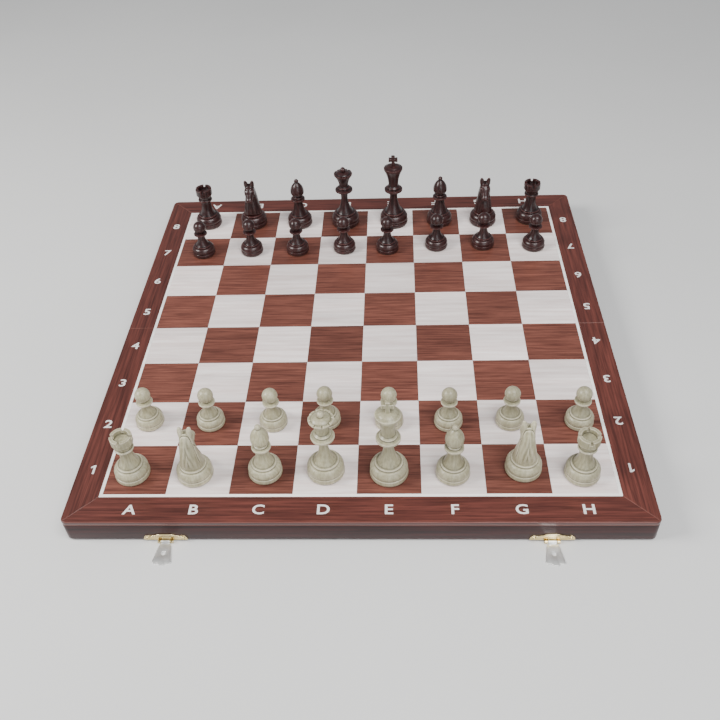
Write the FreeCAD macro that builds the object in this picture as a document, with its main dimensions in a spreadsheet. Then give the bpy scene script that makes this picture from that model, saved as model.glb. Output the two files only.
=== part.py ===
import FreeCAD, Part
import math
import os
import re

import Sketcher
from FreeCAD import Placement, Rotation, Vector

# A folding wooden chess set. The board is two shallow half boxes hinged at the middle, with the playing
# surface outside and room for the men inside. X runs along the files a to h, Y from White to Black, and
# Z up. The origin is on the table under the middle of the fold.

SIZES = {
    # Playing surface: squares, the maple line round them and the border veneer outside the line.
    "square": 58.0,
    "inlay": 3.0,
    "border": 31.0,
    "corner": 5.0,
    "veneer": 0.6,
    # Half boxes: the rims stand off the table by just over a hinge knuckle's radius.
    "rim_level": 2.0,
    "half_height": 25.0,
    "panel": 4.0,
    "wall": 10.0,
    "fold_gap": 0.15,
    "lining": 0.8,
    # Butt hinges let into the rims at the fold.
    "axis_level": 1.8,
    "hinge_at": 150.0,
    "hinge_length": 40.0,
    "leaf_reach": 8.5,
    "leaf": 1.2,
    "knuckle": 1.8,
    "knuckle_room": 2.2,
    "pin": 1.0,
    "pin_bore": 1.05,
    "screw": 1.1,
    "screw_head": 2.1,
    "screw_length": 10.0,
    "screw_pitch": 13.0,
    # Latches on the front edge, and the studs that they hook over on the far edge.
    "latch_at": 172.0,
    "latch_axis_level": 1.6,
    "latch_stand_off": 2.4,
    "latch_wing": 20.0,
    "latch_plate": 0.8,
    "latch_middle": 8.0,
    "latch_end": 6.0,
    "barrel": 1.5,
    "wire": 0.7,
    "wire_bore": 0.75,
    "barrel_half": 3.8,
    "barrel_ear": 3.0,
    "tongue": 0.7,
    "tongue_drop": 1.3,
    "tongue_reach": 22.0,
    "tongue_root": 5.5,
    "tongue_end": 8.5,
    "tongue_tab": 3.0,
    "eye": 2.0,
    "eye_reach": 12.0,
    "stud": 1.2,
    "stud_head": 1.6,
    "stud_reach": 3.2,
    "keeper_plate": 0.4,
    "nail": 0.7,
    "nail_head": 1.6,
    "nail_length": 7.0,
    "nail_at": 16.0,
    # Men: height, and radius of the foot.
    "king_height": 94.0,
    "king_foot": 18.0,
    "queen_height": 79.5,
    "queen_foot": 17.7,
    "bishop_height": 64.5,
    "bishop_foot": 16.0,
    "knight_height": 64.0,
    "knight_foot": 17.0,
    "rook_height": 52.5,
    "rook_foot": 16.4,
    "pawn_height": 45.5,
    "pawn_foot": 14.0,
    "felt": 0.8,
    "slug": 6.0,
    "slug_top": 7.0,
    "cross_half": 5.5,
    "cross_waist": 1.7,
    "cross_thick": 4.5,
}

# Rules for levels and widths that many pieces share.
HALF_WIDTH = "(4 * square + border)"
TOP_FACE = "(rim_level + half_height)"
PANEL_FACE = "(rim_level + half_height - veneer)"
PANEL_BACK = "(rim_level + half_height - veneer - panel)"
FIELD = "(4 * square)"
LINE_OUTER = "(4 * square + inlay)"

doc = FreeCAD.newDocument("chess_set")
sheet = doc.addObject("Spreadsheet::Sheet", "sizes")
for row, (word, size) in enumerate(SIZES.items(), start=1):
    sheet.set(f"A{row}", word)
    sheet.set(f"B{row}", str(size))
    sheet.setAlias(f"B{row}", word)
doc.recompute()

nodes = []


def rule_for(rule):
    """The expression that reads each word of the rule from the sheet."""
    return re.sub(r"([a-z]\w*)", r"sizes.\1", rule)


def value(rule):
    """The rule's size in millimetres."""
    return float(sheet.evalExpression(rule_for(rule)))


def bind(item, name, rule):
    """Ties one property of the item to the sheet."""
    item.setExpression(name, rule_for(rule))


def place(item, at):
    """Ties the item's place to three rules."""
    for axis, rule in zip("xyz", at):
        bind(item, f"Placement.Base.{axis}", rule)
    return item


def keep(item, label):
    """Gives a finished sub-part its label and keeps it for writing out."""
    item.Label = label
    nodes.append(item)
    return item


def block(name, at, size):
    """Box with its lowest corner at the first three rules."""
    item = doc.addObject("Part::Box", name)
    for side, rule in zip(("Length", "Width", "Height"), size):
        bind(item, side, rule)
    return place(item, at)


def rod(name, at, radius, length, axis):
    """Cylinder that starts at the first three rules and runs along the axis."""
    item = doc.addObject("Part::Cylinder", name)
    bind(item, "Radius", radius)
    bind(item, "Height", length)
    item.Placement = Placement(Vector(0, 0, 0), Rotation(Vector(0, 0, 1), axis))
    return place(item, at)


def cone(name, at, radii, length, axis):
    """Cone from the first radius to the second, along the axis."""
    item = doc.addObject("Part::Cone", name)
    bind(item, "Radius1", radii[0])
    bind(item, "Radius2", radii[1])
    bind(item, "Height", length)
    item.Placement = Placement(Vector(0, 0, 0), Rotation(Vector(0, 0, 1), axis))
    return place(item, at)


def fused(name, items):
    item = doc.addObject("Part::MultiFuse", name)
    item.Shapes = items
    return item


def cut(name, base, tool):
    item = doc.addObject("Part::Cut", name)
    item.Base = base
    item.Tool = tool
    return item


def group(name, items):
    """Like pieces that stay separate solids of one sub-part."""
    item = doc.addObject("Part::Compound", name)
    item.Links = items
    return item


def mirrored(name, source, normal):
    item = doc.addObject("Part::Mirroring", name)
    item.Source = source
    item.Normal = normal
    return item


def body(name):
    return doc.addObject("PartDesign::Body", name)


def outline(owner, name, role, steps, lift="0"):
    """Closed sketch on one of the body's origin planes.

    A step is (across, up) for a straight side to that point, or (across, up, radius, turn) for an arc,
    where turn is 1 to the left and -1 to the right. The radius "ball" puts the arc's centre on the upright
    axis. lift raises the sketch off its plane.
    """
    sketch = owner.newObject("Sketcher::SketchObject", name)
    plane = next(item for item in owner.Origin.OriginFeatures if item.Role == role)
    sketch.AttachmentSupport = [(plane, "")]
    sketch.MapMode = "FlatFace"
    if lift != "0":
        bind(sketch, "AttachmentOffset.Base.z", lift)
    corners = [Vector(value(step[0]), value(step[1]), 0) for step in steps]
    begins = []
    ends = []
    for index, step in enumerate(steps):
        start = corners[index - 1]
        end = corners[index]
        if len(step) == 2:
            side = sketch.addGeometry(Part.LineSegment(start, end), False)
            begins.append((side, 1))
            ends.append((side, 2))
            continue
        if step[2] == "ball":
            low = (end.y**2 - start.y**2 - start.x**2) / (2 * (end.y - start.y))
            centre = Vector(0, low, 0)
            radius = end.y - low
        else:
            radius = value(step[2])
            chord = end - start
            rise = math.sqrt(max(radius**2 - (chord.Length / 2) ** 2, 0)) * step[3]
            left = Vector(-chord.y, chord.x, 0).normalize()
            centre = (start + end) / 2 + left * rise
        first, last = (start, end) if step[3] > 0 else (end, start)
        angles = [math.atan2(point.y - centre.y, point.x - centre.x) for point in (first, last)]
        if angles[1] < angles[0]:
            angles[1] += 2 * math.pi
        circle = Part.Circle(centre, Vector(0, 0, 1), radius)
        side = sketch.addGeometry(Part.ArcOfCircle(circle, *angles), False)
        begins.append((side, 1 if step[3] > 0 else 2))
        ends.append((side, 2 if step[3] > 0 else 1))
        if step[2] == "ball":
            sketch.addConstraint(Sketcher.Constraint("PointOnObject", side, 3, -2))
            continue
        mark = sketch.addConstraint(Sketcher.Constraint("Radius", side, radius))
        bind(sketch, f"Constraints[{mark}]", step[2])
    for index, step in enumerate(steps):
        follow = begins[(index + 1) % len(steps)]
        sketch.addConstraint(Sketcher.Constraint("Coincident", *ends[index], *follow))
        for kind, rule, axis in (("DistanceX", step[0], -2), ("DistanceY", step[1], -1)):
            if rule == "0":
                sketch.addConstraint(Sketcher.Constraint("PointOnObject", *ends[index], axis))
                continue
            where = Sketcher.Constraint(kind, -1, 1, *ends[index], value(rule))
            mark = sketch.addConstraint(where)
            bind(sketch, f"Constraints[{mark}]", rule)
    return sketch


def ring(owner, name, role, centre, radius):
    """Sketch of one circle on an origin plane."""
    sketch = owner.newObject("Sketcher::SketchObject", name)
    plane = next(item for item in owner.Origin.OriginFeatures if item.Role == role)
    sketch.AttachmentSupport = [(plane, "")]
    sketch.MapMode = "FlatFace"
    middle = Vector(value(centre[0]), value(centre[1]), 0)
    sketch.addGeometry(Part.Circle(middle, Vector(0, 0, 1), value(radius)), False)
    mark = sketch.addConstraint(Sketcher.Constraint("Radius", 0, value(radius)))
    bind(sketch, f"Constraints[{mark}]", radius)
    for kind, rule, axis in (("DistanceX", centre[0], -2), ("DistanceY", centre[1], -1)):
        if rule == "0":
            sketch.addConstraint(Sketcher.Constraint("PointOnObject", 0, 3, axis))
            continue
        mark = sketch.addConstraint(Sketcher.Constraint(kind, -1, 1, 0, 3, value(rule)))
        bind(sketch, f"Constraints[{mark}]", rule)
    return sketch


def pad(owner, sketch, length, both_ways=False):
    item = owner.newObject("PartDesign::Pad", f"{sketch.Name}_pad")
    item.Profile = sketch
    item.Midplane = both_ways
    bind(item, "Length", length)
    return item


def pocket(owner, sketch, length, both_ways=False):
    item = owner.newObject("PartDesign::Pocket", f"{sketch.Name}_pocket")
    item.Profile = sketch
    item.Midplane = both_ways
    bind(item, "Length", length)
    return item


def around(owner, feature, count):
    """Repeats a feature evenly about the body's upright axis."""
    item = owner.newObject("PartDesign::PolarPattern", f"{feature.Name}_round")
    upright = next(part for part in owner.Origin.OriginFeatures if part.Role == "Z_Axis")
    item.Originals = [feature]
    item.Axis = (upright, [""])
    item.Angle = 360
    item.Occurrences = count
    owner.Tip = item
    return item


# Half boxes. The front half is built from sketches and boxes, and the back half is its mirror image.

def slab(name, steps, thick, level):
    """Flat piece of an outline, lying at a level."""
    owner = body(name)
    pad(owner, outline(owner, f"{name}_outline", "XY_Plane", steps), thick)
    return place(owner, ("0", "0", level))


CORNER_START = f"({HALF_WIDTH} - corner)"
# A rounded corner's middle lies this share of its radius inside the square corner.
CORNER_MIDDLE = f"({HALF_WIDTH} - {1 - math.sqrt(0.5):.4f} * corner)"

panel_steps = [
    (f"-{HALF_WIDTH}", "-fold_gap"),
    (f"-{HALF_WIDTH}", f"-{CORNER_START}"),
    (f"-{CORNER_START}", f"-{HALF_WIDTH}", "corner", 1),
    (CORNER_START, f"-{HALF_WIDTH}"),
    (HALF_WIDTH, f"-{CORNER_START}", "corner", 1),
    (HALF_WIDTH, "-fold_gap"),
]
front_panel = keep(slab("front_panel", panel_steps, "panel", PANEL_BACK), "front_panel")

rail_steps = [
    (f"-{HALF_WIDTH}", f"-({HALF_WIDTH} - wall)"),
    *panel_steps[1:5],
    (HALF_WIDTH, f"-({HALF_WIDTH} - wall)"),
]
RAIL_HEIGHT = f"({PANEL_BACK} - rim_level)"
front_rail = keep(slab("front_rail", rail_steps, RAIL_HEIGHT, "rim_level"), "front_rail")

side_rails = []
for name, left in (("left_rail", f"-{HALF_WIDTH}"), ("right_rail", f"{HALF_WIDTH} - wall")):
    at = (left, f"-({HALF_WIDTH} - wall)", "rim_level")
    size = ("wall", f"{HALF_WIDTH} - 2 * wall - fold_gap", RAIL_HEIGHT)
    side_rails.append(block(name, at, size))
front_side_rails = keep(group("front_side_rails", side_rails), "front_side_rails")

# The hinge rail is cut away for each hinge's leaf, knuckle and screws.
hinge_cuts = []
for tag, sign in (("left", "-1"), ("right", "1")):
    start = f"({sign} * hinge_at - hinge_length / 2)"
    at = (f"{start} - 0.1", "-(leaf_reach + 0.1)", "rim_level")
    hinge_cuts.append(block(f"mortise_{tag}", at, ("hinge_length + 0.2", "leaf_reach", "leaf")))
    at = (f"{start} - 0.1", "0", "axis_level")
    hinge_cuts.append(rod(f"relief_{tag}", at, "knuckle_room", "hinge_length + 0.2", Vector(1, 0, 0)))
    for index in (-1, 0, 1):
        across = f"{sign} * hinge_at + {index} * screw_pitch"
        at = (across, "-leaf_reach * 0.6", "rim_level")
        name = f"pilot_{tag}_{index + 1}"
        hinge_cuts.append(rod(name, at, "screw", "screw_length", Vector(0, 0, 1)))
rail_blank = block(
    "hinge_rail_blank",
    (f"-{HALF_WIDTH}", "-(wall + fold_gap)", "rim_level"),
    (f"2 * {HALF_WIDTH}", "wall", RAIL_HEIGHT),
)
hinge_rail = cut("front_hinge_rail", rail_blank, fused("hinge_cuts", hinge_cuts))
front_hinge_rail = keep(hinge_rail, "front_hinge_rail")

lining = block(
    "front_felt_lining",
    (f"-({HALF_WIDTH} - wall)", f"-({HALF_WIDTH} - wall)", f"{PANEL_BACK} - lining"),
    (f"2 * ({HALF_WIDTH} - wall)", f"{HALF_WIDTH} - 2 * wall - fold_gap", "lining"),
)
front_felt_lining = keep(lining, "front_felt_lining")

# Sixteen dark and sixteen light squares on the half. The corner square a1 is dark.
tiles = {"dark": [], "light": []}
for file in range(8):
    for rank in range(4):
        colour = "light" if (file + rank) % 2 else "dark"
        near = "fold_gap" if rank == 3 else "0"
        at = (f"({file} - 4) * square", f"({rank} - 4) * square", PANEL_FACE)
        tile = block(f"tile_{'abcdefgh'[file]}{rank + 1}", at, ("square", f"square - {near}", "veneer"))
        tiles[colour].append(tile)
front_dark_squares = keep(group("front_dark_squares", tiles["dark"]), "front_dark_squares")
front_light_squares = keep(group("front_light_squares", tiles["light"]), "front_light_squares")


def strips(name, inner, outer, rounded):
    """Three mitred strips round the playing field: left, long and right."""
    if rounded:
        left_end = [(f"-{outer}", f"-{CORNER_START}")]
        left_end += [(f"-{CORNER_MIDDLE}", f"-{CORNER_MIDDLE}", "corner", 1)]
        long_end = [(f"-{CORNER_MIDDLE}", f"-{CORNER_MIDDLE}")]
        long_end += [(f"-{CORNER_START}", f"-{outer}", "corner", 1), (CORNER_START, f"-{outer}")]
        long_end += [(CORNER_MIDDLE, f"-{CORNER_MIDDLE}", "corner", 1)]
    else:
        left_end = [(f"-{outer}", f"-{outer}")]
        long_end = [(f"-{outer}", f"-{outer}"), (outer, f"-{outer}")]
    left_steps = [(f"-{inner}", "-fold_gap"), (f"-{outer}", "-fold_gap"), *left_end]
    left_steps.append((f"-{inner}", f"-{inner}"))
    long_steps = [(f"-{inner}", f"-{inner}"), *long_end, (inner, f"-{inner}")]
    left = slab(f"{name}_left", left_steps, "veneer", PANEL_FACE)
    long = slab(f"{name}_long", long_steps, "veneer", PANEL_FACE)
    return group(name, [left, long, mirrored(f"{name}_right", left, Vector(1, 0, 0))])


front_inlay_line = keep(strips("front_inlay_line", FIELD, LINE_OUTER, False), "front_inlay_line")
front_border = keep(strips("front_border", LINE_OUTER, HALF_WIDTH, True), "front_border")

# Mirroring a1 gives a8, so the front's dark squares are the back's light ones.
back_twins = {
    "back_panel": front_panel,
    "back_rail": front_rail,
    "back_side_rails": front_side_rails,
    "back_hinge_rail": front_hinge_rail,
    "back_felt_lining": front_felt_lining,
    "back_light_squares": front_dark_squares,
    "back_dark_squares": front_light_squares,
    "back_inlay_line": front_inlay_line,
    "back_border": front_border,
}
for label, source in back_twins.items():
    keep(mirrored(label, source, Vector(0, 1, 0)), label)


# Butt hinges. Five knuckles alternate between the front leaf and the back leaf on one pin.

def hinge_leaf(tag, sign, side, turns):
    """Leaf on one side of the fold (-1 front, 1 back) with its knuckles and countersunk holes."""
    start = f"({sign} * hinge_at - hinge_length / 2)"
    reach = "-leaf_reach" if side < 0 else "knuckle_room"
    at = (start, reach, "rim_level")
    plates = [block(f"plate_{tag}", at, ("hinge_length", "leaf_reach - knuckle_room", "leaf"))]
    for turn in turns:
        begin = f"{start} + {turn} * hinge_length / 5 + 0.15"
        length = "hinge_length / 5 - 0.3"
        root = "-knuckle_room" if side < 0 else "1.15"
        at = (begin, root, "rim_level")
        plates.append(block(f"root_{tag}_{turn}", at, (length, "knuckle_room - 1.15", "leaf")))
        at = (begin, "0", "axis_level")
        plates.append(rod(f"knuckle_{tag}_{turn}", at, "knuckle", length, Vector(1, 0, 0)))
    holes = [rod(f"bore_{tag}", (start, "0", "axis_level"), "pin_bore", "hinge_length", Vector(1, 0, 0))]
    for index in (-1, 0, 1):
        across = f"{sign} * hinge_at + {index} * screw_pitch"
        at = (across, f"{side} * leaf_reach * 0.6", "rim_level")
        radii = ("screw_head + 0.05", "screw + 0.05")
        name = f"sink_{tag}_{index + 1}"
        holes.append(cone(name, at, radii, "leaf", Vector(0, 0, 1)))
    return cut(f"leaf_{tag}", fused(f"leaf_blank_{tag}", plates), fused(f"leaf_holes_{tag}", holes))


for half, side, turns in (("front", -1, (0, 2, 4)), ("back", 1, (1, 3))):
    leaves = []
    screws = []
    for hand, sign in (("left", "-1"), ("right", "1")):
        leaves.append(hinge_leaf(f"{half}_{hand}", sign, side, turns))
        for index in (-1, 0, 1):
            across = f"{sign} * hinge_at + {index} * screw_pitch"
            seat = f"{side} * leaf_reach * 0.6"
            tag = f"{half}_{hand}_{index + 1}"
            up = Vector(0, 0, 1)
            head = cone(f"head_{tag}", (across, seat, "rim_level"), ("screw_head", "screw"), "leaf", up)
            at = (across, seat, "rim_level + leaf")
            shank = rod(f"shank_{tag}", at, "screw", "screw_length - leaf", up)
            screws.append(fused(f"screw_{tag}", [head, shank]))
    keep(group(f"{half}_hinge_leaves", leaves), f"{half}_hinge_leaves")
    keep(group(f"{half}_hinge_screws", screws), f"{half}_hinge_screws")

hinge_pins = []
for hand, sign in (("left", "-1"), ("right", "1")):
    at = (f"{sign} * hinge_at - hinge_length / 2", "0", "axis_level")
    hinge_pins.append(rod(f"hinge_pin_{hand}", at, "pin", "hinge_length", Vector(1, 0, 0)))
keep(group("hinge_pins", hinge_pins), "hinge_pins")


# Latches. The plate is nailed to the front rail, and the tongue swings on a wire through the plate's two
# barrels. Shut, the tongue's eye hooks over the stud on the other half.

latch_plate = body("latch_plate_blank")
plate_steps = [
    ("latch_wing - 2", "0"),
    ("latch_wing - 2", "latch_end", "latch_end * 0.57", 1),
    ("latch_wing - 8", "latch_end", "latch_end * 0.6", -1),
    ("6.5", "latch_middle", "latch_end", 1),
    ("-6.5", "latch_middle"),
    ("-(latch_wing - 8)", "latch_end", "latch_end", 1),
    ("-(latch_wing - 2)", "latch_end", "latch_end * 0.6", -1),
    ("-(latch_wing - 2)", "0", "latch_end * 0.57", 1),
]
pad(latch_plate, outline(latch_plate, "latch_outline", "XZ_Plane", plate_steps), "latch_plate")
place(latch_plate, ("0", f"-{HALF_WIDTH}", "rim_level"))

AXIS_Y = f"-({HALF_WIDTH} + latch_stand_off)"
ears = []
bores = []
for hand, start in (("left", "-(barrel_half + 0.2 + barrel_ear)"), ("right", "barrel_half + 0.2")):
    at = (start, AXIS_Y, "latch_axis_level")
    ears.append(rod(f"ear_{hand}", at, "barrel", "barrel_ear", Vector(1, 0, 0)))
    back = "latch_stand_off - latch_plate / 2"
    at = (start, AXIS_Y, "latch_axis_level + wire_bore + 0.1")
    ears.append(block(f"ear_web_{hand}", at, ("barrel_ear", back, "barrel - wire_bore - 0.1")))
    bores.append(rod(f"ear_bore_{hand}", (start, AXIS_Y, "latch_axis_level"), "wire_bore", "barrel_ear",
                     Vector(1, 0, 0)))
for hand, sign in (("left", "-1"), ("right", "1")):
    at = (f"{sign} * nail_at", f"-({HALF_WIDTH} + latch_plate)", "rim_level + latch_end / 2")
    bores.append(rod(f"nail_hole_{hand}", at, "nail", "latch_plate", Vector(0, 1, 0)))
plate_blank = cut("latch_plate_drilled", fused("latch_plate_eared", [latch_plate, *ears]),
                  fused("latch_plate_bores", bores))
wire_length = "2 * (barrel_half + barrel_ear + 0.2)"
wire = rod("latch_wire", (f"-({wire_length}) / 2", AXIS_Y, "latch_axis_level"), "wire", wire_length,
           Vector(1, 0, 0))


def nails(tag, level, rows, plate="latch_plate"):
    """Round-headed nails that hold a plate to a wall, each from its head to its point."""
    items = []
    for index, (across, side) in enumerate(rows):
        face = f"({HALF_WIDTH} + {plate})"
        inward = Vector(0, -side, 0)
        name = f"{tag}_{index}"
        start = f"{side} * {face}"
        shank = rod(f"{name}_shank", (across, start, level), "nail", "nail_length", inward)
        dome = doc.addObject("Part::Sphere", f"{name}_dome")
        bind(dome, "Radius", "nail_head")
        dome.Angle1 = 0
        dome.Placement = Placement(Vector(0, 0, 0), Rotation(Vector(0, 0, 1), Vector(0, side, 0)))
        place(dome, (across, start, level))
        items.append(fused(name, [dome, shank]))
    return items


def pair(name, items):
    """A latch's fixed pieces, once at each latch."""
    sets = [group(f"{name}_{hand}", items) for hand in ("left", "right")]
    for item, sign in zip(sets, ("-1", "1")):
        bind(item, "Placement.Base.x", f"{sign} * latch_at")
    return group(name, sets)


latch_nails = nails("latch_nail", "rim_level + latch_end / 2", [("-nail_at", -1), ("nail_at", -1)])
keep(pair("latch_plates", [plate_blank, wire]), "latch_plates")
keep(pair("latch_nails", latch_nails), "latch_nails")


def tongue(name, sign):
    """Tongue lying forward on the table, with its barrel on the body's own X axis."""
    owner = body(name)
    lift = "-tongue_drop"
    tab_start = "-tongue_reach"
    steps = [
        ("tongue_root - 1.7", "-1.2"),
        ("tongue_root", "-4"),
        ("tongue_end", f"{tab_start} + 3"),
        ("tongue_end - 2", tab_start, "2.4", -1),
        ("tongue_tab", tab_start),
        ("-tongue_tab", tab_start, "tongue_tab * 1.1", -1),
        ("-(tongue_end - 2)", tab_start),
        ("-tongue_end", f"{tab_start} + 3", "2.4", -1),
        ("-tongue_root", "-4"),
        ("-(tongue_root - 1.7)", "-1.2"),
    ]
    barrel = ring(owner, f"{name}_barrel", "YZ_Plane", ("0", "0"), "barrel")
    pad(owner, barrel, "2 * barrel_half", True)
    pad(owner, outline(owner, f"{name}_leaf", "XY_Plane", steps, lift), "tongue")
    pocket(owner, ring(owner, f"{name}_bore", "YZ_Plane", ("0", "0"), "wire_bore"), "20", True)
    pocket(owner, ring(owner, f"{name}_eye", "XY_Plane", ("0", "-eye_reach"), "eye"), "10", True)
    return place(owner, (f"{sign} * latch_at", AXIS_Y, "latch_axis_level"))


for hand, sign in (("left", "-1"), ("right", "1")):
    keep(tongue(f"latch_tongue_{hand}", sign), f"latch_tongue_{hand}")

# When the box is shut, the stud comes opposite the tongue's eye.
STUD_LEVEL = "(2 * axis_level - latch_axis_level + eye_reach)"
stud_side = Vector(0, 1, 0)
keeper = fused(
    "keeper",
    [
        block("keeper_plate", ("-13", HALF_WIDTH, f"{STUD_LEVEL} - 4"), ("26", "keeper_plate", "8")),
        rod("stud", ("0", HALF_WIDTH, STUD_LEVEL), "stud", "stud_reach", stud_side),
    ],
)
stud_ball = doc.addObject("Part::Sphere", "stud_ball")
bind(stud_ball, "Radius", "stud_head")
place(stud_ball, ("0", f"{HALF_WIDTH} + stud_reach", STUD_LEVEL))
studded = fused("studded_keeper", [keeper, stud_ball])
keeper_holes = []
for hand, across in (("left", "-11"), ("right", "11")):
    at = (across, HALF_WIDTH, STUD_LEVEL)
    keeper_holes.append(rod(f"keeper_hole_{hand}", at, "nail", "keeper_plate", stud_side))
drilled_keeper = cut("drilled_keeper", studded, fused("keeper_holes", keeper_holes))
keeper_nails = nails("keeper_nail", STUD_LEVEL, [("-11", 1), ("11", 1)], "keeper_plate")
keep(pair("latch_keepers", [drilled_keeper, *keeper_nails]), "latch_keepers")


# Men. Each is turned in wood round a lead slug and stands on a felt pad. Radii are shares of the foot's
# radius. Heights are shares of the foot's radius in the foot, and of the man's height above it.

FOOT = [
    (0.99, 0.16),
    (0.96, 0.34),
    (0.89, 0.37),
    (0.95, 0.42),
    (0.79, 0.84, 0.40, 1),
    (0.69, 0.87),
    (0.70, 0.98, 0.07, 1),
    (0.60, 1.00),
]
TURNINGS = {
    "king": [
        (0.28, 0.478, 2.2, -1),
        (0.62, 0.503),
        (0.62, 0.526),
        (0.42, 0.540),
        (0.46, 0.556),
        (0.34, 0.575),
        (0.64, 0.812, 2.4, -1),
        (0.64, 0.833),
        (0.50, 0.846),
        (0.14, 0.870, 0.5, 1),
    ],
    "queen": [
        (0.29, 0.575, 1.9, -1),
        (0.61, 0.600),
        (0.61, 0.624),
        (0.40, 0.642),
        (0.44, 0.662),
        (0.31, 0.682),
        (0.64, 0.878, 1.6, -1),
        (0.64, 0.898),
        (0.50, 0.898),
        (0.14, 0.932, 0.5, 1),
        (0, 1.0, "ball", 1),
    ],
    "bishop": [
        (0.34, 0.530, 2.6, -1),
        (0.55, 0.552),
        (0.55, 0.580),
        (0.38, 0.595),
        (0.40, 0.615),
        (0.27, 0.637),
        (0.53, 0.730, 0.42, 1),
        (0.13, 0.930, 1.0, 1),
        (0, 1.0, "ball", 1),
    ],
    "knight": [],
    "rook": [
        (0.40, 0.670, 1.6, -1),
        (0.53, 0.690),
        (0.53, 0.715),
        (0.45, 0.730),
        (0.61, 0.850, 0.8, -1),
        (0.61, 1.0),
        (0.42, 1.0),
        (0.42, 0.91),
    ],
    "pawn": [
        (0.32, 0.605, 1.3, -1),
        (0.57, 0.628),
        (0.57, 0.656),
        (0.25, 0.690),
        (0, 1.0, "ball", 1),
    ],
}


def turned(kind):
    """The man's turned body, hollow under the foot for the slug."""
    foot = f"{kind}_foot"
    height = f"{kind}_height"
    steps = [("0", "slug_top"), ("slug", "slug_top"), ("slug", "felt"), (f"0.96 * {foot}", "felt")]
    rows = [(foot, step) for step in FOOT] + [(height, step) for step in TURNINGS[kind]]
    for scale, step in rows:
        across = f"{step[0]} * {foot}" if step[0] else "0"
        steps.append((across, f"{step[1]} * {scale}"))
        if len(step) == 4:
            radius = step[2] if step[2] == "ball" else f"{step[2]} * {foot}"
            steps[-1] += (radius, step[3])
    if steps[-1][0] != "0":
        steps.append(("0", steps[-1][1]))
    owner = body(f"{kind}_turning")
    profile = outline(owner, f"{kind}_profile", "XZ_Plane", steps)
    turning = owner.newObject("PartDesign::Revolution", f"{kind}_revolution")
    turning.Profile = profile
    turning.ReferenceAxis = (profile, ["V_Axis"])
    turning.Angle = 360
    return owner


def notched(owner, kind, steps, inside, count):
    """Cuts the same notch all round the rim, outwards from the inside radius."""
    lift = f"-{inside} * {kind}_foot"
    notch = outline(owner, f"{kind}_notch", "XZ_Plane", steps, lift)
    doc.recompute()
    before = owner.Shape.Volume
    item = around(owner, pocket(owner, notch, f"0.5 * {kind}_foot"), count)
    doc.recompute()
    if owner.Shape.Volume >= before or item.Shape.isNull():
        raise RuntimeError(f"the {kind}'s notches cut nothing")


woods = {kind: [turned(kind)] for kind in TURNINGS}
rook_notch = [
    ("-1.3", "0.93 * rook_height"),
    ("1.3", "0.93 * rook_height"),
    ("1.3", "1.02 * rook_height"),
    ("-1.3", "1.02 * rook_height"),
]
notched(woods["rook"][0], "rook", rook_notch, "0.36", 4)
queen_notch = [
    ("0", "0.878 * queen_height"),
    ("1.9", "0.908 * queen_height"),
    ("-1.9", "0.908 * queen_height"),
]
notched(woods["queen"][0], "queen", queen_notch, "0.52", 9)

# The king's cross stands on the dome of the crown.
CROSS_FOOT = "0.868 * king_height"
CROSS_ARM = "0.947 * king_height"
cross = body("king_cross")
cross_steps = [
    ("2.3", CROSS_FOOT),
    ("cross_waist", f"{CROSS_ARM} - cross_waist"),
    ("cross_half", f"{CROSS_ARM} - 2.5"),
    ("cross_half", f"{CROSS_ARM} + 2.5"),
    ("cross_waist", f"{CROSS_ARM} + cross_waist"),
    ("2.4", "king_height"),
    ("-2.4", "king_height"),
    ("-cross_waist", f"{CROSS_ARM} + cross_waist"),
    ("-cross_half", f"{CROSS_ARM} + 2.5"),
    ("-cross_half", f"{CROSS_ARM} - 2.5"),
    ("-cross_waist", f"{CROSS_ARM} - cross_waist"),
    ("-2.3", CROSS_FOOT),
]
pad(cross, outline(cross, "cross_outline", "XZ_Plane", cross_steps), "cross_thick", True)
woods["king"].append(cross)

# The knight's head is sawn to its side outline, then narrowed from the front and notched between the ears.
HEAD_SIDE = [
    (-0.58, 0.2656),
    (0.58, 0.2656),
    (0.50, 0.44),
    (0.36, 0.54),
    (0.72, 0.56),
    (0.90, 0.62),
    (0.88, 0.70),
    (0.55, 0.86),
    (0.30, 0.92),
    (0.10, 1.0),
    (-0.22, 0.92),
    (-0.62, 0.72, 1.0, 1),
    (-0.72, 0.45, 1.6, 1),
]
CHEEK = [(1.1, 0.26), (0.66, 0.26), (0.50, 0.55), (0.38, 0.80), (0.44, 1.02), (1.1, 1.02)]
EAR_NOTCH = [(-0.34, 1.02), (0, 0.86), (0.34, 1.02)]


def head_steps(rows):
    """Rows as shares of the knight's foot and height."""
    steps = []
    for row in rows:
        across = f"{row[0]} * knight_foot" if row[0] else "0"
        steps.append((across, f"{row[1]} * knight_height"))
        if len(row) == 4:
            steps[-1] += (f"{row[2]} * knight_foot", row[3])
    return steps


head = body("knight_head")
pad(head, outline(head, "head_side", "YZ_Plane", head_steps(HEAD_SIDE)), "1.6 * knight_foot", True)
other_cheek = [(-across, up) for across, up in CHEEK]
for name, rows in (("near_cheek", CHEEK), ("far_cheek", other_cheek), ("ear_notch", EAR_NOTCH)):
    pocket(head, outline(head, name, "XZ_Plane", head_steps(rows)), "4 * knight_foot", True)
woods["knight"].append(head)

up = Vector(0, 0, 1)
for kind, pieces in woods.items():
    pieces.append(rod(f"{kind}_slug", ("0", "0", "felt"), "slug", "slug_top - felt", up))
    pieces.append(rod(f"{kind}_felt", ("0", "0", "0"), f"{kind}_foot - 1.2", "felt", up))

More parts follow.
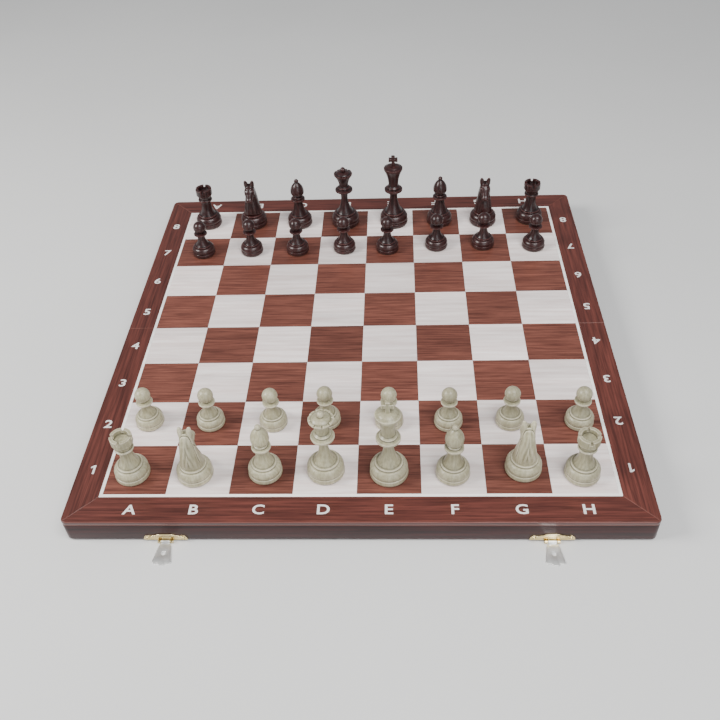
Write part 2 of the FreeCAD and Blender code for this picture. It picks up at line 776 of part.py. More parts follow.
# Ready to play. The pairs say how far a man stands off the middle of its square, right and away from White.
HOME_ROW = ["rook", "knight", "bishop", "queen", "king", "bishop", "knight", "rook"]
STANDS = {
    ("white", 1): [(-6, -5), (-5, -6), (2, -4), (0, -3), (0, -5), (0, -6), (6, -1), (0, -7)],
    ("white", 2): [(-4, 2), (-1, 1), (3, 0), (-3, 2), (0, 0), (-1, -1), (0, 0), (8, -1)],
    ("black", 7): [(1, -2), (3, 0), (2, 0), (2, 2), (-3, 0), (-1, 5), (-2, 6), (1, 1)],
    ("black", 8): [(-3, 6), (-2, 5), (0, 3), (1, 3), (5, 2), (5, 2), (2, 0), (3, 4)],
}
for (colour, rank), row in STANDS.items():
    for file, (right, away) in enumerate(row):
        kind = HOME_ROW[file] if rank in (1, 8) else "pawn"
        letter = "" if kind in ("king", "queen") else f"_{'abcdefgh'[file]}"
        man = group(f"{colour}_{kind}{letter}", woods[kind])
        facing = 0 if colour == "white" else 180
        man.Placement = Placement(Vector(0, 0, 0), Rotation(up, facing))
        place(man, (f"({file} - 3.5) * square + {right}", f"({rank} - 4.5) * square + {away}", TOP_FACE))
        keep(man, f"{colour}_{kind}{letter}")

doc.recompute()
for item in doc.Objects:
    if "Invalid" in item.State or "Error" in item.State:
        raise RuntimeError(f"{item.Label} did not recompute: {item.State}")
for item in nodes:
    if item.Shape.isNull() or not item.Shape.isValid():
        raise RuntimeError(f"{item.Label} has no valid shape")
os.makedirs("parts", exist_ok=True)
for item in nodes:
    item.Shape.exportStep(f"parts/{item.Label}.step")
print(f"{len(nodes)} sub-parts written")
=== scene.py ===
import math
import bpy
import numpy as np
from mathutils import Matrix, Vector


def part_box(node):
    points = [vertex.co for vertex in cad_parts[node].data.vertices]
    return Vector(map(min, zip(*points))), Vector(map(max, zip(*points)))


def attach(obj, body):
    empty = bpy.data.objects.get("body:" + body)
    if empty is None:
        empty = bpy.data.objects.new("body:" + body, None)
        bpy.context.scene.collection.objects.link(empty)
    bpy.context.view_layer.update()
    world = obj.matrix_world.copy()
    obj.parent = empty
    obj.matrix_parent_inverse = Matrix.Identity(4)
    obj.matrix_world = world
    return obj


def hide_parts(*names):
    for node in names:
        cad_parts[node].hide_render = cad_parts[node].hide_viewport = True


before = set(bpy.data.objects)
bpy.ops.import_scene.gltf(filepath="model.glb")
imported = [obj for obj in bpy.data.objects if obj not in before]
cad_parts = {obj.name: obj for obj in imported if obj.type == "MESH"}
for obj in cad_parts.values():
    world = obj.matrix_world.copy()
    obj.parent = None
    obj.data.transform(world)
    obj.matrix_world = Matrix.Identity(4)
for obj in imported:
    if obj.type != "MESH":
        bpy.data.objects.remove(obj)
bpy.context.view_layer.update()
MM = 0.001


# ---- Where the set stands, and where it is seen from ----
# A pale table top, soft studio light from the upper left, and a camera above White's side of the board.

TABLE_REACH = 9.0
ROOM_LIGHT = 0.38
CREASE = math.radians(38)
LOOK_ACROSS = -0.0383
LOOK_AWAY = -0.9605
CAMERA_SQUARES = 14.796
CAMERA_RISE = math.radians(42.86)
CAMERA_TURN = math.radians(3.83)
CAMERA_ROLL = math.radians(-3.186)
CAMERA_LENS = 40.63

squares_low, squares_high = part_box("front_light_squares")
square = (squares_high[0] - squares_low[0]) / 8
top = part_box("front_border")[1][2]


def add(tree, kind, inputs=None, **settings):
    """Shader node of a kind. An input given as a socket is linked, and any other value is set."""
    item = tree.nodes.new(kind)
    for name, setting in settings.items():
        setattr(item, name, setting)
    for name, source in (inputs or {}).items():
        if isinstance(source, bpy.types.NodeSocket):
            tree.links.new(source, item.inputs[name])
        else:
            item.inputs[name].default_value = source
    return item


def finish_material(name, roughness=0.5, **constants):
    """New material: its node tree and its Principled BSDF, with the constants set on the shader."""
    material = bpy.data.materials.new(name)
    material.use_nodes = True
    tree = material.node_tree
    shader = tree.nodes["Principled BSDF"]
    shader.inputs["Roughness"].default_value = roughness
    for word, number in constants.items():
        shader.inputs[word.replace("_", " ")].default_value = number
    return material, tree, shader


def ramp(tree, factor, stops):
    """Colour that follows the factor through (place, colour) stops."""
    item = add(tree, "ShaderNodeValToRGB", {"Fac": factor})
    points = item.color_ramp.elements
    while len(points) < len(stops):
        points.new(0.5)
    for point, (place, colour) in zip(points, stops):
        point.position = place
        point.color = (*colour, 1)
    return item.outputs["Color"]


def mix(tree, factor, first, second, blend="MIX"):
    """Colour between two colours, or one laid on the other with a blend."""
    item = tree.nodes.new("ShaderNodeMix")
    item.data_type = "RGBA"
    item.blend_type = blend
    for place, source in ((0, factor), (6, first), (7, second)):
        if isinstance(source, bpy.types.NodeSocket):
            tree.links.new(source, item.inputs[place])
        elif place == 0:
            item.inputs[place].default_value = source
        else:
            item.inputs[place].default_value = (*source, 1)
    return item.outputs[2]


def reckon(tree, operation, first, second=0.0, third=0.0, clamp=False):
    """Arithmetic on two or three numbers."""
    inputs = {0: first, 1: second, 2: third}
    return add(tree, "ShaderNodeMath", inputs, operation=operation, use_clamp=clamp).outputs[0]


def noise(tree, vector, scale, detail, **more):
    """Noise about a vector, as a number near a half."""
    inputs = {"Vector": vector, "Scale": scale, "Detail": detail, **more}
    return add(tree, "ShaderNodeTexNoise", inputs).outputs["Fac"]


def coordinates(tree):
    """Object coordinates."""
    return add(tree, "ShaderNodeTexCoord").outputs["Object"]


def on_points(tree, word):
    """Number kept on a mesh's points under a name."""
    return add(tree, "ShaderNodeAttribute", attribute_name=word).outputs["Fac"]


def relief(tree, shader, height, strength, distance):
    """Fine relief of a height, felt in the shader's normal."""
    bump = add(tree, "ShaderNodeBump", {"Height": height, "Strength": strength, "Distance": distance})
    tree.links.new(bump.outputs["Normal"], shader.inputs["Normal"])


def sheet_mesh(name, points, faces, material, marks=None):
    """Object of a mesh given as arrays, with its place in its mesh. Faces of five corners or more lie flat
    and are shaded flat. marks are numbers kept on the points."""
    mesh = bpy.data.meshes.new(name)
    mesh.from_pydata(np.asarray(points, float), [], faces)
    mesh.materials.append(material)
    mesh.shade_smooth()
    mesh.set_sharp_from_angle(angle=CREASE)
    mesh.polygons.foreach_set("use_smooth", [len(face) < 5 for face in faces])
    for word, numbers in (marks or {}).items():
        layer = mesh.attributes.new(word, "FLOAT", "POINT")
        layer.data.foreach_set("value", np.asarray(numbers, np.float32))
    piece = bpy.data.objects.new(name, mesh)
    bpy.context.scene.collection.objects.link(piece)
    return piece


table_paint, tree, shader = finish_material("table_top", 0.62)
cloud = noise(tree, coordinates(tree), 2.2, 5.0)
tree.links.new(
    ramp(tree, cloud, [(0.3, (0.70, 0.70, 0.69)), (0.7, (0.74, 0.74, 0.73))]),
    shader.inputs["Base Color"],
)
table_points = [(x, y, 0) for x, y in ((-1, -1), (1, -1), (1, 1), (-1, 1))]
table = sheet_mesh("table", np.array(table_points) * TABLE_REACH, [(0, 1, 2, 3)], table_paint)

back = Vector((math.sin(CAMERA_TURN) * math.cos(CAMERA_RISE),
               -math.cos(CAMERA_TURN) * math.cos(CAMERA_RISE),
               math.sin(CAMERA_RISE)))
look_at = Vector((LOOK_ACROSS * square, LOOK_AWAY * square, top))
right = (-back).cross(Vector((0, 0, 1))).normalized()
above = right.cross(-back)
across = math.cos(CAMERA_ROLL) * right + math.sin(CAMERA_ROLL) * above
upward = -math.sin(CAMERA_ROLL) * right + math.cos(CAMERA_ROLL) * above
camera = bpy.data.objects.new("camera", bpy.data.cameras.new("camera"))
camera.data.lens = CAMERA_LENS
camera.data.sensor_width = 36
camera.data.clip_start = 0.01
turn = Matrix((across, upward, back)).transposed().to_4x4()
camera.matrix_world = Matrix.Translation(look_at + back * CAMERA_SQUARES * square) @ turn
bpy.context.scene.collection.objects.link(camera)
bpy.context.scene.camera = camera


def soft_light(name, place, aim, size, power, tint=(1, 1, 1)):
    """Square area light at a place, turned to face its aim."""
    lamp = bpy.data.lights.new(name, "AREA")
    lamp.size = size
    lamp.energy = power
    lamp.color = tint
    item = bpy.data.objects.new(name, lamp)
    item.location = place
    item.rotation_euler = (Vector(aim) - Vector(place)).to_track_quat("-Z", "Y").to_euler()
    bpy.context.scene.collection.objects.link(item)


soft_light("window", (-1.45, -0.35, 1.15), (0, 0, 0), 0.7, 34, (1, 0.985, 0.96))
soft_light("ceiling", (0.50, -0.75, 1.7), (0, 0, 0), 1.0, 31)
soft_light("front_fill", (0.45, -1.5, 0.55), (0, 0, 0), 1.0, 8, (0.96, 0.98, 1))
world = bpy.data.worlds.new("studio")
world.use_nodes = True
world.node_tree.nodes["Background"].inputs["Color"].default_value = (0.86, 0.88, 0.92, 1)
world.node_tree.nodes["Background"].inputs["Strength"].default_value = ROOM_LIGHT
bpy.context.scene.world = world


# ---- Rails of the two half boxes ----
# Each half box is framed in solid hardwood, stained dark and lacquered to a gloss. The long rail has
# rounded ends, the side rails fit between it and the hinge rail, and every edge has a sanded arris.

ARRIS = 0.7 * MM
CORNER = 5 * MM
TIGHTEST = 0.55 * MM
RIM_ARRIS = 0.5 * MM
SCORE = 0.04 * MM
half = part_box("front_rail")[1][0]
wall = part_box("front_rail")[1][1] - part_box("front_rail")[0][1]
fold_gap = -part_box("front_panel")[1][1]
rail_low, rail_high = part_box("front_rail")[0][2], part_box("front_rail")[1][2]


def spokes(angles):
    """Unit directions at angles."""
    return np.stack([np.cos(angles), np.sin(angles)], axis=1)


def plan(corners, radii, steps=8):
    """Points and outward normals round a plan outline whose corners, taken to the left, are turned.

    Each corner is a circular arc: its centre is set in from the corner along both sides by the radius, and
    the normal sweeps evenly from one side's to the next. Where the radius is too small to draw an arris in,
    all the corner's points get the direction of its mitre instead, so the outline never crosses itself.
    """
    corners = np.asarray(corners, float)
    before = corners - np.roll(corners, 1, axis=0)
    after = np.roll(before, -1, axis=0)
    points = []
    normals = []
    for corner, first, second, radius in zip(corners, before, after, radii):
        one = np.array([first[1], -first[0]]) / np.hypot(*first)
        two = np.array([second[1], -second[0]]) / np.hypot(*second)
        bend = math.atan2(one[0] * two[1] - one[1] * two[0], one @ two)
        side = math.copysign(1, bend)
        sweep = spokes(math.atan2(one[1], one[0]) + bend * np.linspace(0, 1, steps))
        mitre = (one + two) / (1 + one @ two)
        points.append(corner - side * radius * mitre + side * radius * sweep)
        normals.append(sweep if radius > TIGHTEST else np.broadcast_to(mitre, sweep.shape))
    return np.concatenate(points), np.concatenate(normals)


def stacked(rings, count):
    """Numbers of the points of a stack of closed rings, and the quads that join each ring to the next."""
    index = np.arange(rings * count).reshape(rings, count)
    following = np.roll(index, -1, axis=1)
    quads = np.stack([index[:-1], following[:-1], following[1:], index[1:]], axis=-1)
    return index, quads.reshape(-1, 4).tolist()


def prism_of(points, normals, low, high, arris_low, arris_high):
    """Upright solid of a plan outline: the wall rises through rings, and each arris is a quarter circle
    that draws the outline in along its normals. Gives points, faces and a mark that is 1 on an arris."""
    quarter = np.linspace(0, math.pi / 2, 4)
    inset = np.concatenate([arris_low * (1 - np.sin(quarter)), arris_high * (1 - np.cos(quarter))])
    rise = np.concatenate([arris_low * (1 - np.cos(quarter)),
                           high - low - arris_high * (1 - np.sin(quarter))])
    mark = np.tile(np.sin(2 * quarter), 2)
    flat = points[None] - inset[:, None, None] * normals[None]
    heights = np.broadcast_to(low + rise[:, None, None], (*flat.shape[:2], 1))
    solid = np.concatenate([flat, heights], axis=2).reshape(-1, 3)
    index, walls = stacked(len(rise), len(points))
    return solid, walls + [index[0][::-1].tolist(), index[-1].tolist()], np.repeat(mark, len(points))


def prism(corners, radii, low, high, arris_low, arris_high, steps=8):
    """Upright solid of an outline given by its corners and their radii."""
    return prism_of(*plan(corners, radii, steps), low, high, arris_low, arris_high)


def joined(parts):
    """Several solids as one mesh: points, faces, edge marks, and a number for each solid."""
    points = np.concatenate([part[0] for part in parts])
    starts = np.cumsum([0] + [len(part[0]) for part in parts[:-1]])
    faces = [[number + start for number in face] for start, part in zip(starts, parts) for face in part[1]]
    marks = np.concatenate([part[2] for part in parts])
    order = np.concatenate([np.full(len(part[0]), number) for number, part in enumerate(parts)])
    return points, faces, marks, order


def build(name, parts, material, body, slot, *nodes, seed=1):
    """Piece of one or more solids that rides on a body and stands for CAD nodes. Every solid gets a random
    tone between 0 and 1, so that like parts are cut from different stock."""
    points, faces, marks, order = joined(parts)
    tones = np.random.default_rng(seed).random(len(parts))
    piece = sheet_mesh(name, points, faces, material, {"edge": marks, "tone": tones[order]})
    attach(piece, body)
    if nodes:
        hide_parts(*nodes)
    return piece


def for_half(name, parts):
    """A half's solids. The back half's are the front half's mirrored in the fold, with their faces turned
    the right way round."""
    if name == "front":
        return parts
    return [(points * np.array([1, -1, 1]), [face[::-1] for face in faces], *marks)
            for points, faces, *marks in parts]


# Every wood shares this figure: long streaks, short pores and a broad cloud, all stretched along the grain,
# which runs along the incoming vector's X.
figure = bpy.data.node_groups.new("wood_figure", "ShaderNodeTree")
for word, kind, start in (("Vector", "NodeSocketVector", None), ("Length", "NodeSocketFloat", 30.0),
                          ("Width", "NodeSocketFloat", 600.0), ("Tone", "NodeSocketFloat", 0.0)):
    socket = figure.interface.new_socket(word, in_out="INPUT", socket_type=kind)
    if start is not None:
        socket.default_value = start
for word in ("Streak", "Pore", "Cloud"):
    figure.interface.new_socket(word, in_out="OUTPUT", socket_type="NodeSocketFloat")
inside = figure.nodes.new("NodeGroupInput")
outside = figure.nodes.new("NodeGroupOutput")
split = add(figure, "ShaderNodeSeparateXYZ", {"Vector": inside.outputs["Vector"]})
shift = reckon(figure, "MULTIPLY", inside.outputs["Tone"], 37.0)
for word, fine, detail in (("Streak", 1.0, 4.0), ("Pore", 3.2, 2.0), ("Cloud", 0.16, 3.0)):
    along = reckon(figure, "MULTIPLY", inside.outputs["Length"], fine)
    wide = reckon(figure, "MULTIPLY", inside.outputs["Width"], fine)
    stretched = add(figure, "ShaderNodeCombineXYZ", {
        "X": reckon(figure, "MULTIPLY_ADD", split.outputs["X"], along, shift),
        "Y": reckon(figure, "MULTIPLY_ADD", split.outputs["Y"], wide, shift),
        "Z": reckon(figure, "MULTIPLY_ADD", split.outputs["Z"], wide, shift),
    })
    grain = noise(figure, stretched.outputs["Vector"], 1.0, detail, Roughness=0.6, Distortion=0.25)
    figure.links.new(grain, outside.inputs[word])


def wood(name, colours, turn=(0, 0, 0), size=(30, 600), pores=0.35, rub_and_highlight=(0.5, 0.4, 0.3), rubbed_and_highlit=0.15,
         roughness=0.3, coat=0.35, coat_roughness=0.15, bump=0.15, shine=0.35):
    """Lacquered wood: streaks between the dark and the light colour, darker pores, a broad cloud and a
    random tone for each part, pores just felt through the lacquer, painted shade that darkens a groove, and
    an arris painted paler in patches, partly as rubbed wear and partly as a painted highlight."""
    material, tree, shader = finish_material(name, roughness, Coat_Roughness=coat_roughness,
                                             Coat_Weight=coat, Specular_IOR_Level=shine)
    where = coordinates(tree)
    where = add(tree, "ShaderNodeMapping", {"Vector": where, "Rotation": turn}).outputs["Vector"]
    tone = on_points(tree, "tone")
    edge = on_points(tree, "edge")
    inputs = {"Vector": where, "Tone": tone, "Length": size[0], "Width": size[1]}
    grain = add(tree, "ShaderNodeGroup", inputs, node_tree=figure)
    dark, light = (np.array(colour) for colour in colours)
    middle = (dark + light) / 2
    streaked = ramp(tree, grain.outputs["Streak"], [(0.34, dark), (0.5, middle), (0.66, light)])
    cloudy = reckon(tree, "MULTIPLY_ADD", grain.outputs["Cloud"], 0.7, 0.65)
    toned = reckon(tree, "MULTIPLY_ADD", tone, 0.24, 0.88)
    shade = reckon(tree, "MULTIPLY", cloudy, toned)
    shade = add(tree, "ShaderNodeCombineColor", {"Red": shade, "Green": shade, "Blue": shade})
    colour = mix(tree, 1.0, streaked, shade.outputs["Color"], "MULTIPLY")
    pore = add(tree, "ShaderNodeMapRange", {"Value": grain.outputs["Pore"], "From Min": 0.60,
                                            "From Max": 0.72, "To Max": pores}).outputs["Result"]
    colour = mix(tree, pore, colour, tuple(dark * 0.35))
    # Painted shade: where the edge mark is negative, in a groove, the colour is darkened towards the dark
    # colour.
    groove_shade = reckon(tree, "MULTIPLY", edge, -0.9, clamp=True)
    colour = mix(tree, groove_shade, colour, tuple(dark * 0.30))
    # Rubbed wear and painted highlight: where the edge mark is positive, on an arris, the colour is lightened
    # in patches towards the given arris colour.
    patchy = reckon(tree, "MULTIPLY", grain.outputs["Cloud"], 2 * rubbed_and_highlit)
    worn_and_highlit = reckon(tree, "MULTIPLY", edge, patchy, clamp=True)
    colour = mix(tree, worn_and_highlit, colour, rub_and_highlight)
    tree.links.new(colour, shader.inputs["Base Color"])
    rough = reckon(tree, "MULTIPLY_ADD", grain.outputs["Streak"], 0.16, roughness - 0.08)
    tree.links.new(rough, shader.inputs["Roughness"])
    height = reckon(tree, "SUBTRACT", reckon(tree, "MULTIPLY", grain.outputs["Streak"], 0.5), pore)
    relief(tree, shader, height, bump, SCORE)
    return material


ACROSS_TURN = (0, 0, math.pi / 2)
RAIL_DARK = (0.015, 0.0034, 0.0038)
RAIL_LIGHT = (0.052, 0.0115, 0.0112)
# Arris colour of the rails and panel edges: partly rubbed wear, partly a painted highlight.
RUB_AND_HIGHLIGHT = (0.36, 0.13, 0.09)
RAIL_LOOK = {"size": (9, 260), "rub_and_highlight": RUB_AND_HIGHLIGHT, "rubbed_and_highlit": 0.5, "roughness": 0.36, "coat": 0.15, "shine": 0.25}
rail_wood = wood("stained_rail", (RAIL_DARK, RAIL_LIGHT), **RAIL_LOOK)
side_rail_wood = wood("stained_side_rail", (RAIL_DARK, RAIL_LIGHT), ACROSS_TURN, **RAIL_LOOK)

long_plan = [(-half, -half), (half, -half), (half, wall - half), (-half, wall - half)]
long_rail = prism(long_plan, (CORNER, CORNER, 0, 0), rail_low, rail_high, ARRIS, RIM_ARRIS)
side_rails = []
for left in (-half, half - wall):
    corners = [(left, wall - half), (left + wall, wall - half), (left + wall, -fold_gap - wall),
               (left, -fold_gap - wall)]
    side_rails.append(prism(corners, (0.2 * MM,) * 4, rail_low, rail_high, ARRIS, RIM_ARRIS, 2))
for name in ("front", "back"):
    parts = for_half(name, [long_rail, *side_rails])
    body = f"{name}_half"
    build(f"{name}_long_rail", parts[:1], rail_wood, body, "stained_rail", f"{name}_rail", seed=3)
    build(f"{name}_end_rails", parts[1:], side_rail_wood, body, "stained_rail", f"{name}_side_rails", seed=4)
    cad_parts[f"{name}_hinge_rail"].data.materials[0] = rail_wood


# ---- Panels ----
# Each half has a plywood panel glued on its frame. Its edge is stained and lacquered with the rails, and a
# fine shadow line shows where the two meet.

panel_low, panel_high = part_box("front_panel")[0][2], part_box("front_panel")[1][2]
panel_wood = wood("panel_edge", ((0.038, 0.009, 0.009), (0.105, 0.026, 0.021)), size=(12, 900), rub_and_highlight=RUB_AND_HIGHLIGHT,
                  rubbed_and_highlit=0.4, roughness=0.3, coat=0.5)
panel_plan = [(-half, -half), (half, -half), (half, -fold_gap), (-half, -fold_gap)]
panel = prism(panel_plan, (CORNER, CORNER, 0, 0), panel_low, panel_high, RIM_ARRIS, 0.02 * MM)
for name in ("front", "back"):
    build(f"{name}_board", for_half(name, [panel]), panel_wood, f"{name}_half", "panel_board",
          f"{name}_panel", seed=5)


# ---- Playing squares ----
# Thirty-two squares of mahogany and thirty-two of sycamore veneer. Each is cut from another leaf, so tone
# and figure change from square to square, and a hair of dark glue shows in the joints.

DARK_SQUARE = ((0.080, 0.0235, 0.0165), (0.205, 0.070, 0.048))
LIGHT_SQUARE = ((0.740, 0.630, 0.600), (0.910, 0.830, 0.805))
dark_veneer = wood("mahogany_veneer", DARK_SQUARE, size=(22, 520), pores=0.5, roughness=0.46, coat=0.10,
                   rub_and_highlight=(0.3, 0.1, 0.07), rubbed_and_highlit=0.1)
light_veneer = wood("sycamore_veneer", LIGHT_SQUARE, size=(14, 210), pores=0.08, roughness=0.46, coat=0.10,
                    rub_and_highlight=(0.75, 0.66, 0.6), rubbed_and_highlit=0.1)
JOINT = 0.05 * MM
SHARP = 0.1 * MM


def tile(file, rank):
    """One square of veneer, a joint's width short of its neighbours."""
    left = (file - 4) * square
    near = (rank - 4) * square
    corners = [(left, near), (left + square, near), (left + square, near + square), (left, near + square)]
    if rank == 3:
        corners[2:] = [(x, -fold_gap) for x, y in corners[2:]]
    if rank == 4:
        corners[:2] = [(x, fold_gap) for x, y in corners[:2]]
    inset = np.array([(1, 1), (-1, 1), (-1, -1), (1, -1)]) * JOINT
    return prism(np.array(corners) + inset, (SHARP,) * 4, panel_high, top, 0, SHARP, 2)


for name, ranks in (("front", range(4)), ("back", range(4, 8))):
    for colour, veneer, odd in (("dark", dark_veneer, 0), ("light", light_veneer, 1)):
        tiles = [tile(file, rank) for file in range(8) for rank in ranks if (file + rank) % 2 == odd]
        slot = "mahogany_veneer" if colour == "dark" else "maple_veneer"
        build(f"{name}_{colour}_tiles", tiles, veneer, f"{name}_half", slot, f"{name}_{colour}_squares",
              seed=len(name) + odd)


# ---- Inlay line and border ----
# A white line of maple runs round the field inside a border of mahogany veneer. Both are mitred at the
# corners, and the border's outer edge is sanded to a soft arris, painted pale partly as rubbed wear and
# partly as a painted highlight.

line_inner = 4 * square
line_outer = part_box("front_inlay_line")[1][0]
CORNER_SHARE = 1 - math.sqrt(0.5)
maple = wood("maple_line", ((0.88, 0.85, 0.81), (0.96, 0.94, 0.91)), size=(20, 700), pores=0.05,
             roughness=0.34, coat=0.3, rub_and_highlight=(0.8, 0.75, 0.68), rubbed_and_highlit=0.1)
BORDER = ((0.050, 0.0130, 0.0098), (0.128, 0.035, 0.026))
BORDER_LOOK = {"size": (16, 430), "pores": 0.5, "rub_and_highlight": (0.28, 0.11, 0.08), "rubbed_and_highlit": 0.4, "roughness": 0.42,
               "coat": 0.15}
border_long = wood("border_long", BORDER, **BORDER_LOOK)
border_side = wood("border_side", BORDER, ACROSS_TURN, **BORDER_LOOK)


def mitred(inner, outer, arris, corner):
    """Left, right and long strips between two lines about the field, mitred at 45 degrees."""
    nip = outer - CORNER_SHARE * corner
    long_corners = [(-inner, -inner), (-nip, -nip), (corner - outer, -outer), (outer - corner, -outer),
                    (nip, -nip), (inner, -inner)]
    left_corners = [(-inner, -fold_gap), (-outer, -fold_gap), (-outer, corner - outer), (-nip, -nip),
                    (-inner, -inner)]
    if not corner:
        long_corners = [(-inner, -inner), (-outer, -outer), (outer, -outer), (inner, -inner)]
        left_corners = [(-inner, -fold_gap), (-outer, -fold_gap), (-outer, -outer), (-inner, -inner)]
    right_corners = [(-x, y) for x, y in left_corners[::-1]]
    strips = []
    for corners in (left_corners, right_corners, long_corners):
        outside = [max(abs(x), abs(y)) > inner + 0.5 * (outer - inner) for x, y in corners]
        radii = [0.6 * corner if side and corner else SHARP for side in outside]
        radii = [SHARP if abs(y) == fold_gap or abs(abs(x) - abs(y)) < 1e-9 else size
                 for size, (x, y) in zip(radii, corners)]
        strips.append(prism(corners, radii, panel_high, top, 0, arris, 6))
    return strips


line_strips = mitred(line_inner + JOINT, line_outer - JOINT, 0.03 * MM, 0)
border_strips = mitred(line_outer + JOINT, half, RIM_ARRIS, CORNER)
for name in ("front", "back"):
    lines = for_half(name, line_strips)
    borders = for_half(name, border_strips)
    body = f"{name}_half"
    build(f"{name}_line", lines, maple, body, "maple_line", f"{name}_inlay_line", seed=7)
    build(f"{name}_border_sides", borders[:2], border_side, body, "mahogany_border", f"{name}_border", seed=8)
    build(f"{name}_border_long", borders[2:], border_long, body, "mahogany_border", f"{name}_border", seed=9)


# ---- Letters and digits ----
# Printed on the border in white ink and lacquered over. Each player reads one row of letters and one
# column of digits the right way up.

INK_HEIGHT = 10.5 * MM
INK_LEVEL = top + 0.012 * MM
INK_WEIGHT = 0.020
INK_WIDTH = 1.16
# The figure 1 has a flag, so it is drawn here, in shares of the height.
ONE_MIDDLE = (-0.04, 0.5)
ONE = [(-0.02, 0), (0.17, 0), (0.17, 1), (0.02, 1), (-0.25, 0.82), (-0.25, 0.65), (-0.02, 0.76)]
ink, tree, shader = finish_material("white_ink", 0.38, Coat_Weight=0.3, Coat_Roughness=0.2)
speckle = noise(tree, coordinates(tree), 2600.0, 3.0)
tree.links.new(
    ramp(tree, speckle, [(0.30, (0.60, 0.55, 0.52)), (0.48, (0.83, 0.81, 0.79))]),
    shader.inputs["Base Color"],
)
border_middle = (line_outer + half) / 2


def printed(name, marks, body):
    """Characters as one flat mesh: each is (character, x, y, half turns), centred on its place."""
    points = []
    faces = []
    for character, x, y, half_turns in marks:
        if character == "1":
            flat = (np.array(ONE) - ONE_MIDDLE) * INK_HEIGHT
            outlines = [range(len(ONE))]
        else:
            text = bpy.data.curves.new(name, "FONT")
            text.body = character
            text.size = 1
            text.offset = INK_WEIGHT
            text.resolution_u = 4
            holder = bpy.data.objects.new(name, text)
            bpy.context.scene.collection.objects.link(holder)
            shape = bpy.data.meshes.new_from_object(holder)
            bpy.data.objects.remove(holder)
            flat = np.zeros(len(shape.vertices) * 3)
            shape.vertices.foreach_get("co", flat)
            flat = flat.reshape(-1, 3)[:, :2]
            middle = (flat.min(axis=0) + flat.max(axis=0)) / 2
            scale = INK_HEIGHT / (flat[:, 1].max() - flat[:, 1].min())
            flat = (flat - middle) * scale * np.array([INK_WIDTH, 1])
            outlines = [face.vertices for face in shape.polygons]
        flat = flat * (1 - 2 * half_turns) + (x, y)
        start = sum(len(block) for block in points)
        points.append(np.column_stack([flat, np.full(len(flat), INK_LEVEL)]))
        faces += [[number + start for number in outline] for outline in outlines]
    piece = sheet_mesh(name, np.concatenate(points), faces, ink)
    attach(piece, body)


places = [(number - 3.5) * square for number in range(8)]
digits_left = [(digit, -border_middle, place, 0) for digit, place in zip("12345678", places)]
digits_right = [(digit, border_middle, place, 1) for digit, place in zip("12345678", places)]
letters_near = [(letter, place, -border_middle, 0) for letter, place in zip("ABCDEFGH", places)]
letters_far = [(letter, place, border_middle, 1) for letter, place in zip("ABCDEFGH", places)]
printed("front_lettering", letters_near + digits_left[:4] + digits_right[:4], "front_half")
printed("back_lettering", letters_far + digits_left[4:] + digits_right[4:], "back_half")


# ---- Felt linings ----
# The inside of each half is lined with green felt glued to the panel, softly uneven, with its cut edge
# pressed against the rails.

FELT_SWELL = 0.25 * MM
felt, tree, shader = finish_material("green_felt", 0.95, Sheen_Weight=0.5, Sheen_Roughness=0.45)
where = coordinates(tree)
fibre = noise(tree, where, 1900.0, 5.0, Distortion=1.2)
patch = noise(tree, where, 24.0, 3.0)
fibres = ramp(tree, fibre, [(0.3, (0.010, 0.060, 0.030)), (0.7, (0.035, 0.130, 0.070))])
patches = ramp(tree, patch, [(0.35, (0.75, 0.75, 0.75)), (0.65, (1, 1, 1))])
tree.links.new(mix(tree, 1.0, fibres, patches, "MULTIPLY"), shader.inputs["Base Color"])
relief(tree, shader, fibre, 0.7, 0.3 * MM)


def lining(low, high):
    """Felt sheet: its open face is a grid that swells by slow waves and turns up to the panel at its rim."""
    columns, rows = 72, 36
    u, v = np.meshgrid(np.linspace(0, 1, columns), np.linspace(0, 1, rows), indexing="ij")
    x = low[0] + (high[0] - low[0]) * u
    y = low[1] + (high[1] - low[1]) * v
    rim = np.minimum(np.minimum(u, 1 - u) * (high[0] - low[0]), np.minimum(v, 1 - v) * (high[1] - low[1]))
    wave = np.sin(41 * x + 17 * y) * np.sin(33 * y - 11 * x) * 0.5 + 0.5
    z = low[2] + FELT_SWELL * wave * np.clip(rim / 0.02, 0, 1)
    z = np.where(rim <= 0, high[2] - 0.02 * MM, z)
    under = np.stack([x, y, z], axis=-1).reshape(-1, 3)
    over = np.stack([x, y, np.full_like(x, high[2])], axis=-1).reshape(-1, 3)
    index = np.arange(columns * rows).reshape(columns, rows)
    quads = np.stack([index[:-1, :-1], index[:-1, 1:], index[1:, 1:], index[1:, :-1]], axis=-1).reshape(-1, 4)
    loop = np.concatenate([index[:-1, 0], index[-1, :-1], index[:0:-1, -1], index[0, :0:-1]])
    beyond = np.roll(loop, -1)
    lift = columns * rows
    skirt = np.stack([loop, beyond, beyond + lift, loop + lift], axis=-1)
    faces = quads.tolist() + (quads[:, ::-1] + lift).tolist() + skirt.tolist()
    return np.concatenate([under, over]), faces, np.zeros(2 * lift)


for name in ("front", "back"):
    node = f"{name}_felt_lining"
    build(f"{name}_felt", [lining(*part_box(node))], felt, f"{name}_half", "lining_felt", node)


# ---- Hinges ----
# Two brass butt hinges are let into the rims at the fold and screwed from below. Their knuckles are rolled
# round a steel pin and stand a little below the rims.

